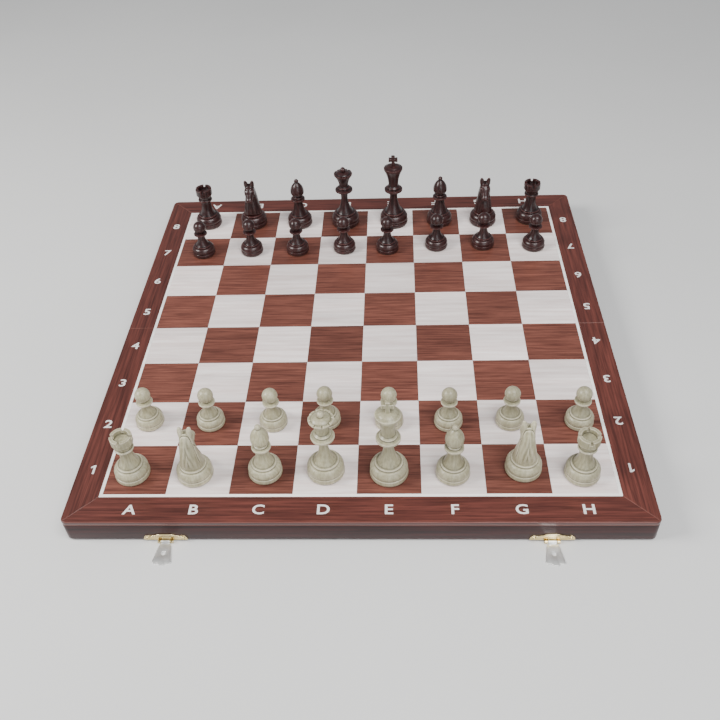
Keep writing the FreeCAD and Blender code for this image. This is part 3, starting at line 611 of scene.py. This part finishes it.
def metal(name, colours, roughness, metallic=1.0):
    """Polished metal with a broad tarnish cloud, fine scratches, and arrises painted brighter, partly as
    polished wear and partly as a painted highlight.
    """
    material, tree, shader = finish_material(name, roughness, Metallic=metallic)
    where = coordinates(tree)
    edge = on_points(tree, "edge")
    cloud = noise(tree, where, 160.0, 4.0)
    stretch = add(tree, "ShaderNodeMapping", {"Vector": where, "Scale": (0.12, 1, 1)}).outputs["Vector"]
    scratch = noise(tree, stretch, 3600.0, 3.0)
    colour = ramp(tree, cloud, [(0.32, colours[0]), (0.62, colours[1])])
    # Polished wear and painted highlight: the arrises are mixed towards the brightest colour.
    rubbed_and_highlit = reckon(tree, "MULTIPLY", edge, 0.6, clamp=True)
    tree.links.new(mix(tree, rubbed_and_highlit, colour, colours[2]), shader.inputs["Base Color"])
    rough = reckon(tree, "MULTIPLY_ADD", scratch, 0.22, roughness - 0.11)
    tree.links.new(rough, shader.inputs["Roughness"])
    relief(tree, shader, scratch, 0.12, SCORE)
    return material


brass = metal("brass", ((0.52, 0.34, 0.11), (0.80, 0.58, 0.24), (0.93, 0.76, 0.42)), 0.30)
steel = metal("steel", ((0.42, 0.42, 0.43), (0.62, 0.62, 0.63), (0.8, 0.8, 0.8)), 0.28)
for node in ("front_hinge_leaves", "back_hinge_leaves", "front_hinge_screws", "back_hinge_screws"):
    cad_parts[node].data.materials[0] = brass
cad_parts["hinge_pins"].data.materials[0] = steel


# ---- Latches ----
# A stamped brass plate is nailed to White's rail at each side, and a bright stamped tongue swings on a wire
# through its barrel. Unhooked, the tongues lie forward on the table.

latch_metal = metal("latch_brass", ((0.60, 0.46, 0.20), (0.86, 0.70, 0.38), (0.95, 0.86, 0.62)), 0.24)
tongue_metal = metal("plated_tongue", ((0.78, 0.78, 0.76), (0.93, 0.93, 0.90), (0.98, 0.98, 0.95)), 0.36,
                     metallic=0.85)
AXLE_LEVEL = 1.6 * MM
AXLE_OFF = 2.4 * MM
PLATE_THICK = 0.8 * MM
PLATE_WING = 20 * MM
BARREL = 1.5 * MM
TONGUE_THICK = 0.7 * MM
TONGUE_UNDER = 1.3 * MM
EYE = 2.0 * MM
EYE_REACH = 12 * MM
BARREL_STARTS = (-7.0 * MM, 4.0 * MM)
BARREL_LONG = 3 * MM
TONGUE_ROOT = 3.8 * MM
WIRE = 0.7 * MM
WIRE_LONG = 14 * MM
BEAD_REACH = 11 * MM
BEAD_LEVEL = 4.6 * MM
NAIL_REACH = 16 * MM
NAIL_LEVEL = 3 * MM
NAIL = 1.6 * MM
NAIL_RISE = 1.4 * MM


def rim(points):
    """Outward normals of a closed smooth outline taken to the left, from the chord past each point."""
    along = np.roll(points, -1, axis=0) - np.roll(points, 1, axis=0)
    return np.stack([along[:, 1], -along[:, 0]], axis=1) / np.hypot(*along.T)[:, None]


def stamped(points, hole, low, high, arris):
    """Stamped sheet: rings run from the hole's rim outwards to the outline and back, up one side and down
    the other, and each arris is a quarter circle. The hole and outline have the same number of points."""
    out = rim(points)
    inner = -rim(hole)
    quarter = np.linspace(0, math.pi / 2, 4)
    inset = arris * (1 - np.sin(quarter))
    rise = arris * (1 - np.cos(quarter))
    rings = []
    marks = []
    for outline, normals, turned_about in ((points, out, 1), (hole, inner, -1)):
        levels = np.concatenate([low + rise, high - rise[::-1]])[::turned_about]
        insets = np.concatenate([inset, inset[::-1]])[::turned_about]
        rings += [np.column_stack([outline - drawn * normals, np.full(len(outline), level)])
                  for drawn, level in zip(insets, levels)]
        marks += [np.full(len(outline), mark) for mark in np.sin(2 * np.concatenate([quarter, quarter]))]
    count = len(points)
    index = np.arange(len(rings) * count).reshape(-1, count)
    beyond = np.roll(index, -1, axis=0)
    quads = np.stack([index, np.roll(index, -1, axis=1), np.roll(beyond, -1, axis=1), beyond], axis=-1)
    return np.concatenate(rings), quads.reshape(-1, 4).tolist(), np.concatenate(marks)


def moved(part, turn, shift=(0, 0, 0)):
    """The same solid turned by a rotation matrix, then moved."""
    return (part[0] @ np.asarray(turn, float).T + np.asarray(shift, float), *part[1:])


def rod(start, length, radius, arris, segments=28):
    """Round bar along X: a circle swept along it, drawn in at both arrises and closed by flat ends."""
    angles = 2 * math.pi * np.arange(segments) / segments
    circle = radius * spokes(angles)
    upright = prism_of(circle, rim(circle), 0, length, arris, arris)
    return moved(upright, [[0, 0, 1], [0, 1, 0], [-1, 0, 0]], start)


def lathe(path, marks, angles):
    """Surface of revolution: radius and height along a profile, swept round Z at the given angles. The
    profile starts and ends on the axis, where one point closes each pole."""
    body = path[1:-1]
    flat = body[:, 0][:, None, None] * spokes(angles)[None]
    heights = np.broadcast_to(body[:, 1][:, None, None], (*flat.shape[:2], 1))
    poles = [[0, 0, path[0, 1]], [0, 0, path[-1, 1]]]
    points = np.concatenate([np.concatenate([flat, heights], axis=2).reshape(-1, 3), poles])
    index, walls = stacked(len(body), len(angles))
    following = np.roll(index, -1, axis=1)
    foot = np.stack([np.full(len(angles), len(points) - 2), following[0], index[0]], axis=1)
    crown = np.stack([np.full(len(angles), len(points) - 1), index[-1], following[-1]], axis=1)
    swept = np.append(np.repeat(marks[1:-1], len(angles)), marks[[0, -1]])
    return points, walls + foot.tolist() + crown.tolist(), swept


def dome(centre, radius, height):
    """Nail head facing -Y: a flattened half ball on a flat round base, closed at the crown."""
    rise = np.linspace(0, math.pi / 2, 7)
    path = np.stack([radius * np.cos(rise), height * np.sin(rise)], axis=1)
    path = np.concatenate([[[0, 0]], path])
    path[-1, 0] = 0
    shape = lathe(path, np.zeros(len(path)), 2 * math.pi * np.arange(24) / 24)
    return moved(shape, [[1, 0, 0], [0, 0, -1], [0, 1, 0]], centre)


def plate_outline():
    """Plate seen from the front: a flat foot, a round lobe at each end and a low swell over the middle."""
    across = np.linspace(1, -1, 96)
    shoulder = 6.0 + 1.6 * np.exp(-((across / 0.40) ** 6)) + 0.5 * np.cos(across * math.pi / 2) ** 2
    neck = 0.9 * np.exp(-(((np.abs(across) - 0.66) / 0.09) ** 2))
    lobe = np.sqrt(np.clip(1 - ((np.abs(across) - 0.83) / 0.17).clip(0) ** 2, 0, 1))
    height = np.maximum((shoulder - neck) * lobe, 0.35)
    upper = np.stack([across * PLATE_WING, height * MM], axis=1)
    lower = np.stack([np.linspace(-0.96, 0.96, 24) * PLATE_WING, np.zeros(24)], axis=1)
    return np.concatenate([upper, lower])


def tongue_outline():
    """Tongue seen from above, root first: straight flanks that spread, and a round tab to lift it by. The
    outline is walked in even steps, so that the rings about the eye stay round."""
    corners = [(3.8, -1.2), (-3.8, -1.2), (-5.5, -4), (-8.6, -20.6), (-7.6, -22), (-3.2, -22), (-2.4, -23.9),
               (2.4, -23.9), (3.2, -22), (7.6, -22), (8.6, -20.6), (5.5, -4)]
    radii = (0.3, 0.3, 3, 0.5, 0.5, 0.3, 1.4, 1.4, 0.3, 0.5, 0.5, 3)
    edge = plan(np.array(corners) * MM, np.array(radii) * MM, 9)[0]
    edge = np.concatenate([edge, edge[:1]])
    length = np.append(0, np.cumsum(np.hypot(*np.diff(edge, axis=0).T)))
    walk = np.linspace(0, length[-1], 240, endpoint=False)
    return np.stack([np.interp(walk, length, edge[:, axis]) for axis in (0, 1)], axis=1)


front_face = -half
axle_y = front_face - AXLE_OFF
UPRIGHT_TURN = [[1, 0, 0], [0, 0, -1], [0, 1, 0]]
outline = plate_outline()
tongue_edge = tongue_outline()
angles = np.arctan2(tongue_edge[:, 1] + EYE_REACH, tongue_edge[:, 0])
eye_edge = EYE * spokes(angles) - (0, EYE_REACH)
for hand in ("left", "right"):
    node = f"latch_tongue_{hand}"
    tongue_low, tongue_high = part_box(node)
    middle = (tongue_low[0] + tongue_high[0]) / 2
    fixed = prism_of(outline, rim(outline), 0, PLATE_THICK, 0, 0.25 * MM)
    fixed = [moved(fixed, UPRIGHT_TURN, (middle, front_face, rail_low))]
    bead_line = rod((-BEAD_REACH, 0, 0), 2 * BEAD_REACH, 0.30 * MM, 0.1 * MM, 16)
    fixed.append(moved(bead_line, np.eye(3), (middle, front_face - PLATE_THICK, rail_low + BEAD_LEVEL)))
    for start in BARREL_STARTS:
        fixed.append(rod((middle + start, axle_y, AXLE_LEVEL), BARREL_LONG, BARREL, 0.25 * MM))
    build(f"latch_plate_{hand}", fixed, latch_metal, "front_half", "latch_brass", "latch_plates")
    wire = rod((middle + BARREL_STARTS[0], axle_y, AXLE_LEVEL), WIRE_LONG, WIRE, 0.1 * MM, 16)
    build(f"latch_wire_{hand}", [wire], steel, "front_half", "steel_wire", "latch_plates")
    heads = [dome((middle + side * NAIL_REACH, front_face - PLATE_THICK, rail_low + NAIL_LEVEL),
                  NAIL, NAIL_RISE) for side in (-1, 1)]
    build(f"latch_nails_{hand}", heads, latch_metal, "front_half", "latch_brass", "latch_nails")
    leaf = stamped(tongue_edge, eye_edge, -TONGUE_UNDER, TONGUE_THICK - TONGUE_UNDER, 0.2 * MM)
    barrel = rod((-TONGUE_ROOT, 0, 0), 2 * TONGUE_ROOT, BARREL, 0.3 * MM)
    swinging = [moved(part, np.eye(3), (middle, axle_y, AXLE_LEVEL)) for part in (leaf, barrel)]
    build(f"tongue_{hand}", swinging, tongue_metal, f"{hand}_latch", "latch_brass", node)
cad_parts["latch_keepers"].data.materials[0] = latch_metal


# ---- Turned men ----
# White's men are boxwood and Black's the same wood stained near black. They are turned on a lathe, satin
# lacquered, and each stands on a pad of felt.

PAD = 0.8 * MM
EASE = 0.16 * MM
# Width of the wider average in eased(): it sets how broad the painted shade in grooves and the paler ridges
# (wear and painted highlight) run on the men.
GROOVE = 0.75 * MM
SPACING = 0.75 * MM
ARC_STEPS = 20
MEN = {"king": (94.0, 18.0), "queen": (79.5, 17.7), "bishop": (64.5, 16.0), "knight": (64.0, 17.0),
       "rook": (52.5, 16.4), "pawn": (45.5, 14.0)}
TURNED_LOOK = {"turn": (0, math.pi / 2, 0), "size": (40, 520), "bump": 0.2}
boxwood = wood("boxwood", ((0.262, 0.238, 0.142), (0.405, 0.377, 0.252)), pores=0.12, rubbed_and_highlit=0.6,
               rub_and_highlight=(0.68, 0.62, 0.48), roughness=0.38, coat=0.3, coat_roughness=0.25, **TURNED_LOOK)
ebonised = wood("ebonised_wood", ((0.0100, 0.0038, 0.0040), (0.036, 0.0105, 0.0100)), pores=0.3, rubbed_and_highlit=0.4,
                rub_and_highlight=(0.12, 0.041, 0.037), roughness=0.32, coat=0.25, coat_roughness=0.22, **TURNED_LOOK)
FOOT = [(0.99, 0.16), (0.96, 0.34), (0.89, 0.37), (0.95, 0.42), (0.79, 0.84, 0.40, 1), (0.69, 0.87),
        (0.70, 0.98, 0.07, 1), (0.60, 1.00)]
ABOVE = {
    "king": [(0.28, 0.478, 2.2, -1), (0.62, 0.503), (0.62, 0.526), (0.42, 0.540), (0.46, 0.556),
             (0.34, 0.575), (0.64, 0.812, 2.4, -1), (0.64, 0.833), (0.50, 0.846), (0.14, 0.870, 0.5, 1),
             (0, 0.870)],
    "queen": [(0.29, 0.575, 1.9, -1), (0.61, 0.600), (0.61, 0.624), (0.40, 0.642), (0.44, 0.662),
              (0.31, 0.682), (0.64, 0.878, 1.6, -1), (0.64, 0.898), (0.50, 0.898), (0.14, 0.932, 0.5, 1),
              (0, 1.0, "ball", 1)],
    "bishop": [(0.34, 0.530, 2.6, -1), (0.55, 0.552), (0.55, 0.580), (0.38, 0.595), (0.40, 0.615),
               (0.27, 0.637), (0.53, 0.730, 0.42, 1), (0.13, 0.930, 1.0, 1), (0, 1.0, "ball", 1)],
    "knight": [(0, 0.2656)],
    "rook": [(0.40, 0.670, 1.6, -1), (0.53, 0.690), (0.53, 0.715), (0.45, 0.730), (0.61, 0.850, 0.8, -1),
             (0.61, 1.0), (0.42, 1.0), (0.42, 0.91), (0, 0.91)],
    "pawn": [(0.32, 0.605, 1.3, -1), (0.57, 0.628), (0.57, 0.656), (0.25, 0.690), (0, 1.0, "ball", 1)],
}


def arc(start, end, radius, side):
    """Points of a circular arc, without its end. It bulges to the right of its travel for side 1 and to the
    left for side -1: the start is turned about the centre, which stands off the chord's middle."""
    start = np.array(start, float)
    end = np.array(end, float)
    chord = np.hypot(*(end - start))
    leftward = np.array([start[1] - end[1], end[0] - start[0]]) / chord
    centre = (start + end) / 2 + side * math.sqrt(max(radius**2 - chord**2 / 4, 0)) * leftward
    sweep = side * 2 * math.asin(min(chord / 2 / radius, 1)) * np.arange(ARC_STEPS) / ARC_STEPS
    spoke = start - centre
    return centre + np.stack([spoke[0] * np.cos(sweep) - spoke[1] * np.sin(sweep),
                              spoke[0] * np.sin(sweep) + spoke[1] * np.cos(sweep)], axis=1)


def averaged(line, stride, ease):
    """Line averaged with a bell curve. It is carried on past both ends by its own mirror image."""
    reach = int(4 * ease / stride)
    bell = np.exp(-0.5 * (np.arange(-reach, reach + 1) * stride / ease) ** 2)
    bell /= bell.sum()
    padded = np.concatenate([2 * line[0] - line[reach:0:-1], line, 2 * line[-1] - line[-2:-reach - 2:-1]])
    return np.stack([np.convolve(padded[:, axis], bell, "valid") for axis in (0, 1)], axis=1)


def eased(path):
    """Profile walked in fine even steps, with its corners worn round by a narrow bell curve. The mark is how
    far each point stands off a wider average, positive on a ridge and negative in a groove, and the points
    kept crowd together where it is large."""
    stride = 0.04 * MM
    length = np.append(0, np.cumsum(np.hypot(*np.diff(path, axis=0).T)))
    walk = np.linspace(0, length[-1], int(length[-1] / stride))
    fine = np.stack([np.interp(walk, length, path[:, 0]), np.interp(walk, length, path[:, 1])], axis=1)
    smooth = averaged(fine, stride, EASE)
    along = np.gradient(smooth, axis=0)
    outward = np.stack([along[:, 1], -along[:, 0]], axis=1) / np.hypot(*along.T)[:, None]
    stand = np.sum((smooth - averaged(fine, stride, GROOVE)) * outward, axis=1) / (0.30 * GROOVE)
    crowd = np.cumsum(1 + 7 * np.clip(np.abs(stand), 0, 1))
    kept = np.interp(np.arange(0, crowd[-1], SPACING / stride), crowd, np.arange(len(smooth)))
    kept = np.unique(np.append(np.round(kept).astype(int), [0, len(smooth) - 1]))
    smooth[[0, -1], 0] = 0
    return smooth[kept], np.clip(stand, -1, 1)[kept]


def turning(kind):
    """Eased profile of a man, from the middle of its underside up to its top."""
    height, foot = (size * MM for size in MEN[kind])
    path = [np.array([(0, PAD), (0.90 * foot, PAD)])]
    last = (0.96 * foot, PAD)
    steps = [(foot, step) for step in FOOT] + [(height, step) for step in ABOVE[kind]]
    for scale, step in steps:
        following = (step[0] * foot, step[1] * scale)
        if len(step) == 2:
            path.append(np.array([last]))
        else:
            rise = following[1] - last[1]
            radius = (rise**2 + last[0] ** 2) / (2 * rise) if step[2] == "ball" else step[2] * foot
            path.append(arc(last, following, radius, step[3]))
        last = following
    path.append(np.array([last]))
    return eased(np.concatenate(path))


def notched(part, count, half_width, floor, slope, inside):
    """Sinks a rim between the notches' flanks: a point inside a notch drops to a floor that climbs with
    its distance from the notch's middle, and a little of its own height is kept."""
    points = part[0].copy()
    radius = np.hypot(points[:, 0], points[:, 1])
    pitch = 2 * math.pi / count
    turn = np.arctan2(points[:, 1], points[:, 0])
    offset = np.abs((turn - pitch / 2) % pitch - pitch / 2)
    bottom = floor + slope * offset
    sunk = (offset < half_width) & (radius > inside) & (points[:, 2] > bottom)
    points[:, 2] = np.where(sunk, bottom + 0.02 * (points[:, 2] - bottom), points[:, 2])
    # The lips of the notches get a high edge mark, so they are painted paler as wear and highlight.
    lip = (np.abs(offset - half_width) < 0.02) & (radius > inside) & (points[:, 2] > floor)
    return points, part[1], np.where(lip, 0.9, part[2])


def crown_angles(count, half_width, between):
    """Angles round a rim: close pairs at the flanks of every notch, and even steps between them."""
    pitch = 2 * math.pi / count
    inside = np.linspace(-half_width + 0.008, half_width - 0.008, 5)
    outside = np.linspace(half_width + 0.008, pitch - half_width - 0.008, between)
    one = np.concatenate([inside, outside])
    return (one[None] + pitch * np.arange(count)[:, None]).ravel()


SPIN = 2 * math.pi * np.arange(56) / 56
shapes = {kind: lathe(*turning(kind), SPIN) for kind in ("king", "bishop", "knight", "pawn")}

# The queen's coronet has nine shallow notches, and the rook's wall four slots.
CORONET = 0.878
SLOT_FLOOR = 0.93
queen_high, queen_foot = (size * MM for size in MEN["queen"])
queen_half = 1.27 * MM / (0.64 * queen_foot)
queen = lathe(*turning("queen"), crown_angles(9, queen_half, 7))
shapes["queen"] = notched(queen, 9, queen_half, CORONET * queen_high, 0.020 * queen_high / queen_half,
                          0.52 * queen_foot)
rook_high, rook_foot = (size * MM for size in MEN["rook"])
rook_half = 1.3 * MM / (0.53 * rook_foot)
rook = lathe(*turning("rook"), crown_angles(4, rook_half, 17))
shapes["rook"] = notched(rook, 4, rook_half, SLOT_FLOOR * rook_high, 0, 0.40 * rook_foot)


# ---- King's cross ----
# A small cross is carved from the same wood on the dome of the king's crown. Its arms flare a little from
# a narrow waist.

king_high = MEN["king"][0]
CROSS_ARM = 0.947 * king_high
CROSS_HALF = 5.5
CROSS_WAIST = 1.7
CROSS_THICK = 4.5 * MM
cross_foot = 0.862 * king_high
cross_side = [(2.3, cross_foot), (CROSS_WAIST, CROSS_ARM - CROSS_WAIST), (CROSS_HALF, CROSS_ARM - 2.5),
              (CROSS_HALF, CROSS_ARM + 2.5), (CROSS_WAIST, CROSS_ARM + CROSS_WAIST), (2.4, king_high)]
cross_corners = np.array(cross_side + [(-x, z) for x, z in cross_side[::-1]]) * MM
cross_radii = np.array([0.1, 0.5, 0.8, 0.8, 0.5, 0.8, 0.8, 0.5, 0.8, 0.8, 0.5, 0.1]) * MM
cross = prism(cross_corners, cross_radii, -CROSS_THICK / 2, CROSS_THICK / 2, 0.6 * MM, 0.6 * MM, 6)
cross = moved(cross, UPRIGHT_TURN)


# ---- Knight's head ----
# The head is carved by hand and glued on a turned foot. It has a deep neck, a jaw, a short muzzle, two
# pricked ears and a mane combed down the back of the neck.

CARVING = 0.42 * MM
knight_high, knight_foot = (size * MM for size in MEN["knight"])


def loft(rows, sides=28, power=2.3):
    """Closed tube through sections: a superellipse of its own width and depth lies across the path at each
    point, in a plane that holds X. Rows give the path's Y and Z, then the half width and half depth."""
    rows = np.asarray(rows, float) * np.array([knight_foot, knight_high, knight_foot, knight_foot])
    fine = np.linspace(0, len(rows) - 1, 6 * len(rows))
    rows = np.stack([np.interp(fine, np.arange(len(rows)), row) for row in rows.T], axis=1)
    along = np.gradient(rows[:, :2], axis=0)
    along /= np.hypot(*along.T)[:, None]
    turn = 2 * math.pi * np.arange(sides) / sides
    wide = np.sign(np.cos(turn)) * np.abs(np.cos(turn)) ** (2 / power)
    deep = np.sign(np.sin(turn)) * np.abs(np.sin(turn)) ** (2 / power)
    x = rows[:, 2][:, None] * wide
    y = rows[:, 0][:, None] + rows[:, 3][:, None] * deep * along[:, 1][:, None]
    z = rows[:, 1][:, None] - rows[:, 3][:, None] * deep * along[:, 0][:, None]
    points = np.stack([x, y, z], axis=-1).reshape(-1, 3)
    index, walls = stacked(len(rows), sides)
    return points, walls + [index[0][::-1].tolist(), index[-1].tolist()], np.zeros(len(points))


NECK = [(0.00, 0.255, 0.65, 0.58), (-0.07, 0.35, 0.60, 0.62), (-0.13, 0.45, 0.54, 0.58),
        (-0.16, 0.54, 0.47, 0.52), (-0.13, 0.63, 0.42, 0.49), (-0.08, 0.72, 0.38, 0.47),
        (-0.03, 0.79, 0.35, 0.40), (0.02, 0.85, 0.31, 0.31), (0.06, 0.885, 0.24, 0.20)]
FACE = [(-0.22, 0.79, 0.22, 0.20), (-0.05, 0.78, 0.34, 0.38), (0.14, 0.755, 0.40, 0.44),
        (0.32, 0.725, 0.37, 0.40), (0.50, 0.69, 0.28, 0.31), (0.66, 0.655, 0.25, 0.25),
        (0.78, 0.63, 0.26, 0.23), (0.87, 0.61, 0.20, 0.15)]
EAR = [(-0.02, 0.82, 0.16, 0.20), (0.01, 0.88, 0.17, 0.18), (0.05, 0.94, 0.15, 0.14),
       (0.09, 0.985, 0.08, 0.06)]
parts = [loft(NECK), loft(FACE)]
for side in (-1, 1):
    ear = loft(EAR, 14, 2)
    lean = side * (0.18 * knight_foot + 0.13 * (ear[0][:, 2] - 0.82 * knight_high))
    parts.append((ear[0] + np.column_stack([lean, np.zeros(len(lean)), np.zeros(len(lean))]), *ear[1:]))
points, faces = joined(parts)[:2]
rough = sheet_mesh("rough_head", points, faces, boxwood)
remesh = rough.modifiers.new("remesh", "REMESH")
remesh.mode = "VOXEL"
remesh.voxel_size = CARVING
soften = rough.modifiers.new("soften", "SMOOTH")
soften.factor = 0.5
soften.iterations = 7
shape = bpy.data.meshes.new_from_object(rough.evaluated_get(bpy.context.evaluated_depsgraph_get()))
bpy.data.objects.remove(rough)


def flat_array(owner, word, width, kind):
    """One property of every element of a mesh as a numpy array."""
    numbers = np.zeros(len(owner) * width, kind)
    owner.foreach_get(word, numbers)
    return numbers.reshape(-1, width)


head = flat_array(shape.vertices, "co", 3, np.float32).astype(float)
normals = flat_array(shape.vertex_normals, "vector", 3, np.float32).astype(float)
edges = flat_array(shape.edges, "vertices", 2, np.int32)
head_faces = [list(face.vertices) for face in shape.polygons]
x, y, z = head[:, 0] / knight_foot, head[:, 1] / knight_foot, head[:, 2] / knight_high


def spot(at_y, at_z, reach_y, reach_z, least=0.12):
    """Bell curve about a place on both sides of the head, kept off its middle."""
    bell = np.exp(-((y - at_y) / reach_y) ** 2 - ((z - at_z) / reach_z) ** 2)
    return bell * np.clip((np.abs(x) - least) / 0.08, 0, 1)


back_line = -0.20 - 0.35 * (0.9 - z).clip(0, 0.45)
mane = 1 / (1 + np.exp((y - back_line) / 0.035)) * np.clip((z - 0.33) / 0.08, 0, 1)
locks = np.sin(26 * np.abs(x) + 16 * z + 1.2 * np.sin(11 * z)) * 0.5
seam = np.exp(-((y - back_line) / 0.035) ** 2) * np.clip((z - 0.36) / 0.08, 0, 1) * (z < 0.9)
cheek = np.hypot(y - 0.14, (z - 0.745) * 3.4)
jaw = np.exp(-((cheek - 0.36) / 0.05) ** 2) * (z < 0.76) * (np.abs(x) > 0.15)
mouth = np.exp(-(((z - 0.612) - 0.05 * (0.85 - y)) / 0.011) ** 2) * np.clip((y - 0.52) / 0.12, 0, 1)
carved = (0.42 * mane * locks - 0.75 * seam - 0.45 * jaw - 0.75 * mouth
          - 0.9 * spot(0.80, 0.655, 0.045, 0.012) + 0.75 * spot(0.40, 0.80, 0.075, 0.020)
          - 0.55 * spot(0.40, 0.832, 0.10, 0.008)
          - 0.5 * spot(0.40, 0.772, 0.10, 0.008) - 0.9 * spot(0.13, 0.935, 0.05, 0.035, 0.10))
head += normals * carved[:, None] * MM
near = np.zeros_like(head)
count = np.zeros(len(head))
for here, there in ((0, 1), (1, 0)):
    np.add.at(near, edges[:, here], head[edges[:, there]])
    np.add.at(count, edges[:, here], 1)
# How far each point stands off its neighbours is the edge mark: carved hollows are painted darker as shade
# and ridges paler as wear and highlight.
bulge = np.sum((head - near / count[:, None]) * normals, axis=1)
head_part = (head, head_faces, np.clip(bulge / (0.035 * MM), -1, 1))


# ---- Men in their places ----
# Each man stands on its own square with a pad of green felt under it. White's knights look away from White,
# and Black's men are turned to face them.

pads = {}
for kind, (height, foot) in MEN.items():
    pad_path = np.array([(0, 0.02), (foot - 1.45, 0.02), (foot - 1.2, 0.2), (foot - 1.2, 0.8), (0, 0.8)]) * MM
    pads[kind] = lathe(pad_path, np.zeros(5), SPIN)
half_turn = np.diag([-1.0, -1.0, 1.0])
number = 0
for colour, timber, slot in (("white", boxwood, "boxwood"), ("black", ebonised, "ebonised_wood")):
    for node in sorted(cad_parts):
        if not node.startswith(f"{colour}_"):
            continue
        kind = node.split("_")[1]
        low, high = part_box(node)
        stand = ((low[0] + high[0]) / 2, (low[1] + high[1]) / 2, top)
        parts = [shapes[kind]] + [cross] * (kind == "king") + [head_part] * (kind == "knight")
        facing = np.eye(3) if colour == "white" else half_turn
        number += 1
        placed = [moved(part, facing, stand) for part in parts]
        build(f"{node}_man", placed, timber, node, slot, node, seed=100 + number)
        build(f"{node}_pad", [moved(pads[kind], facing, stand)], felt, node, "lining_felt")
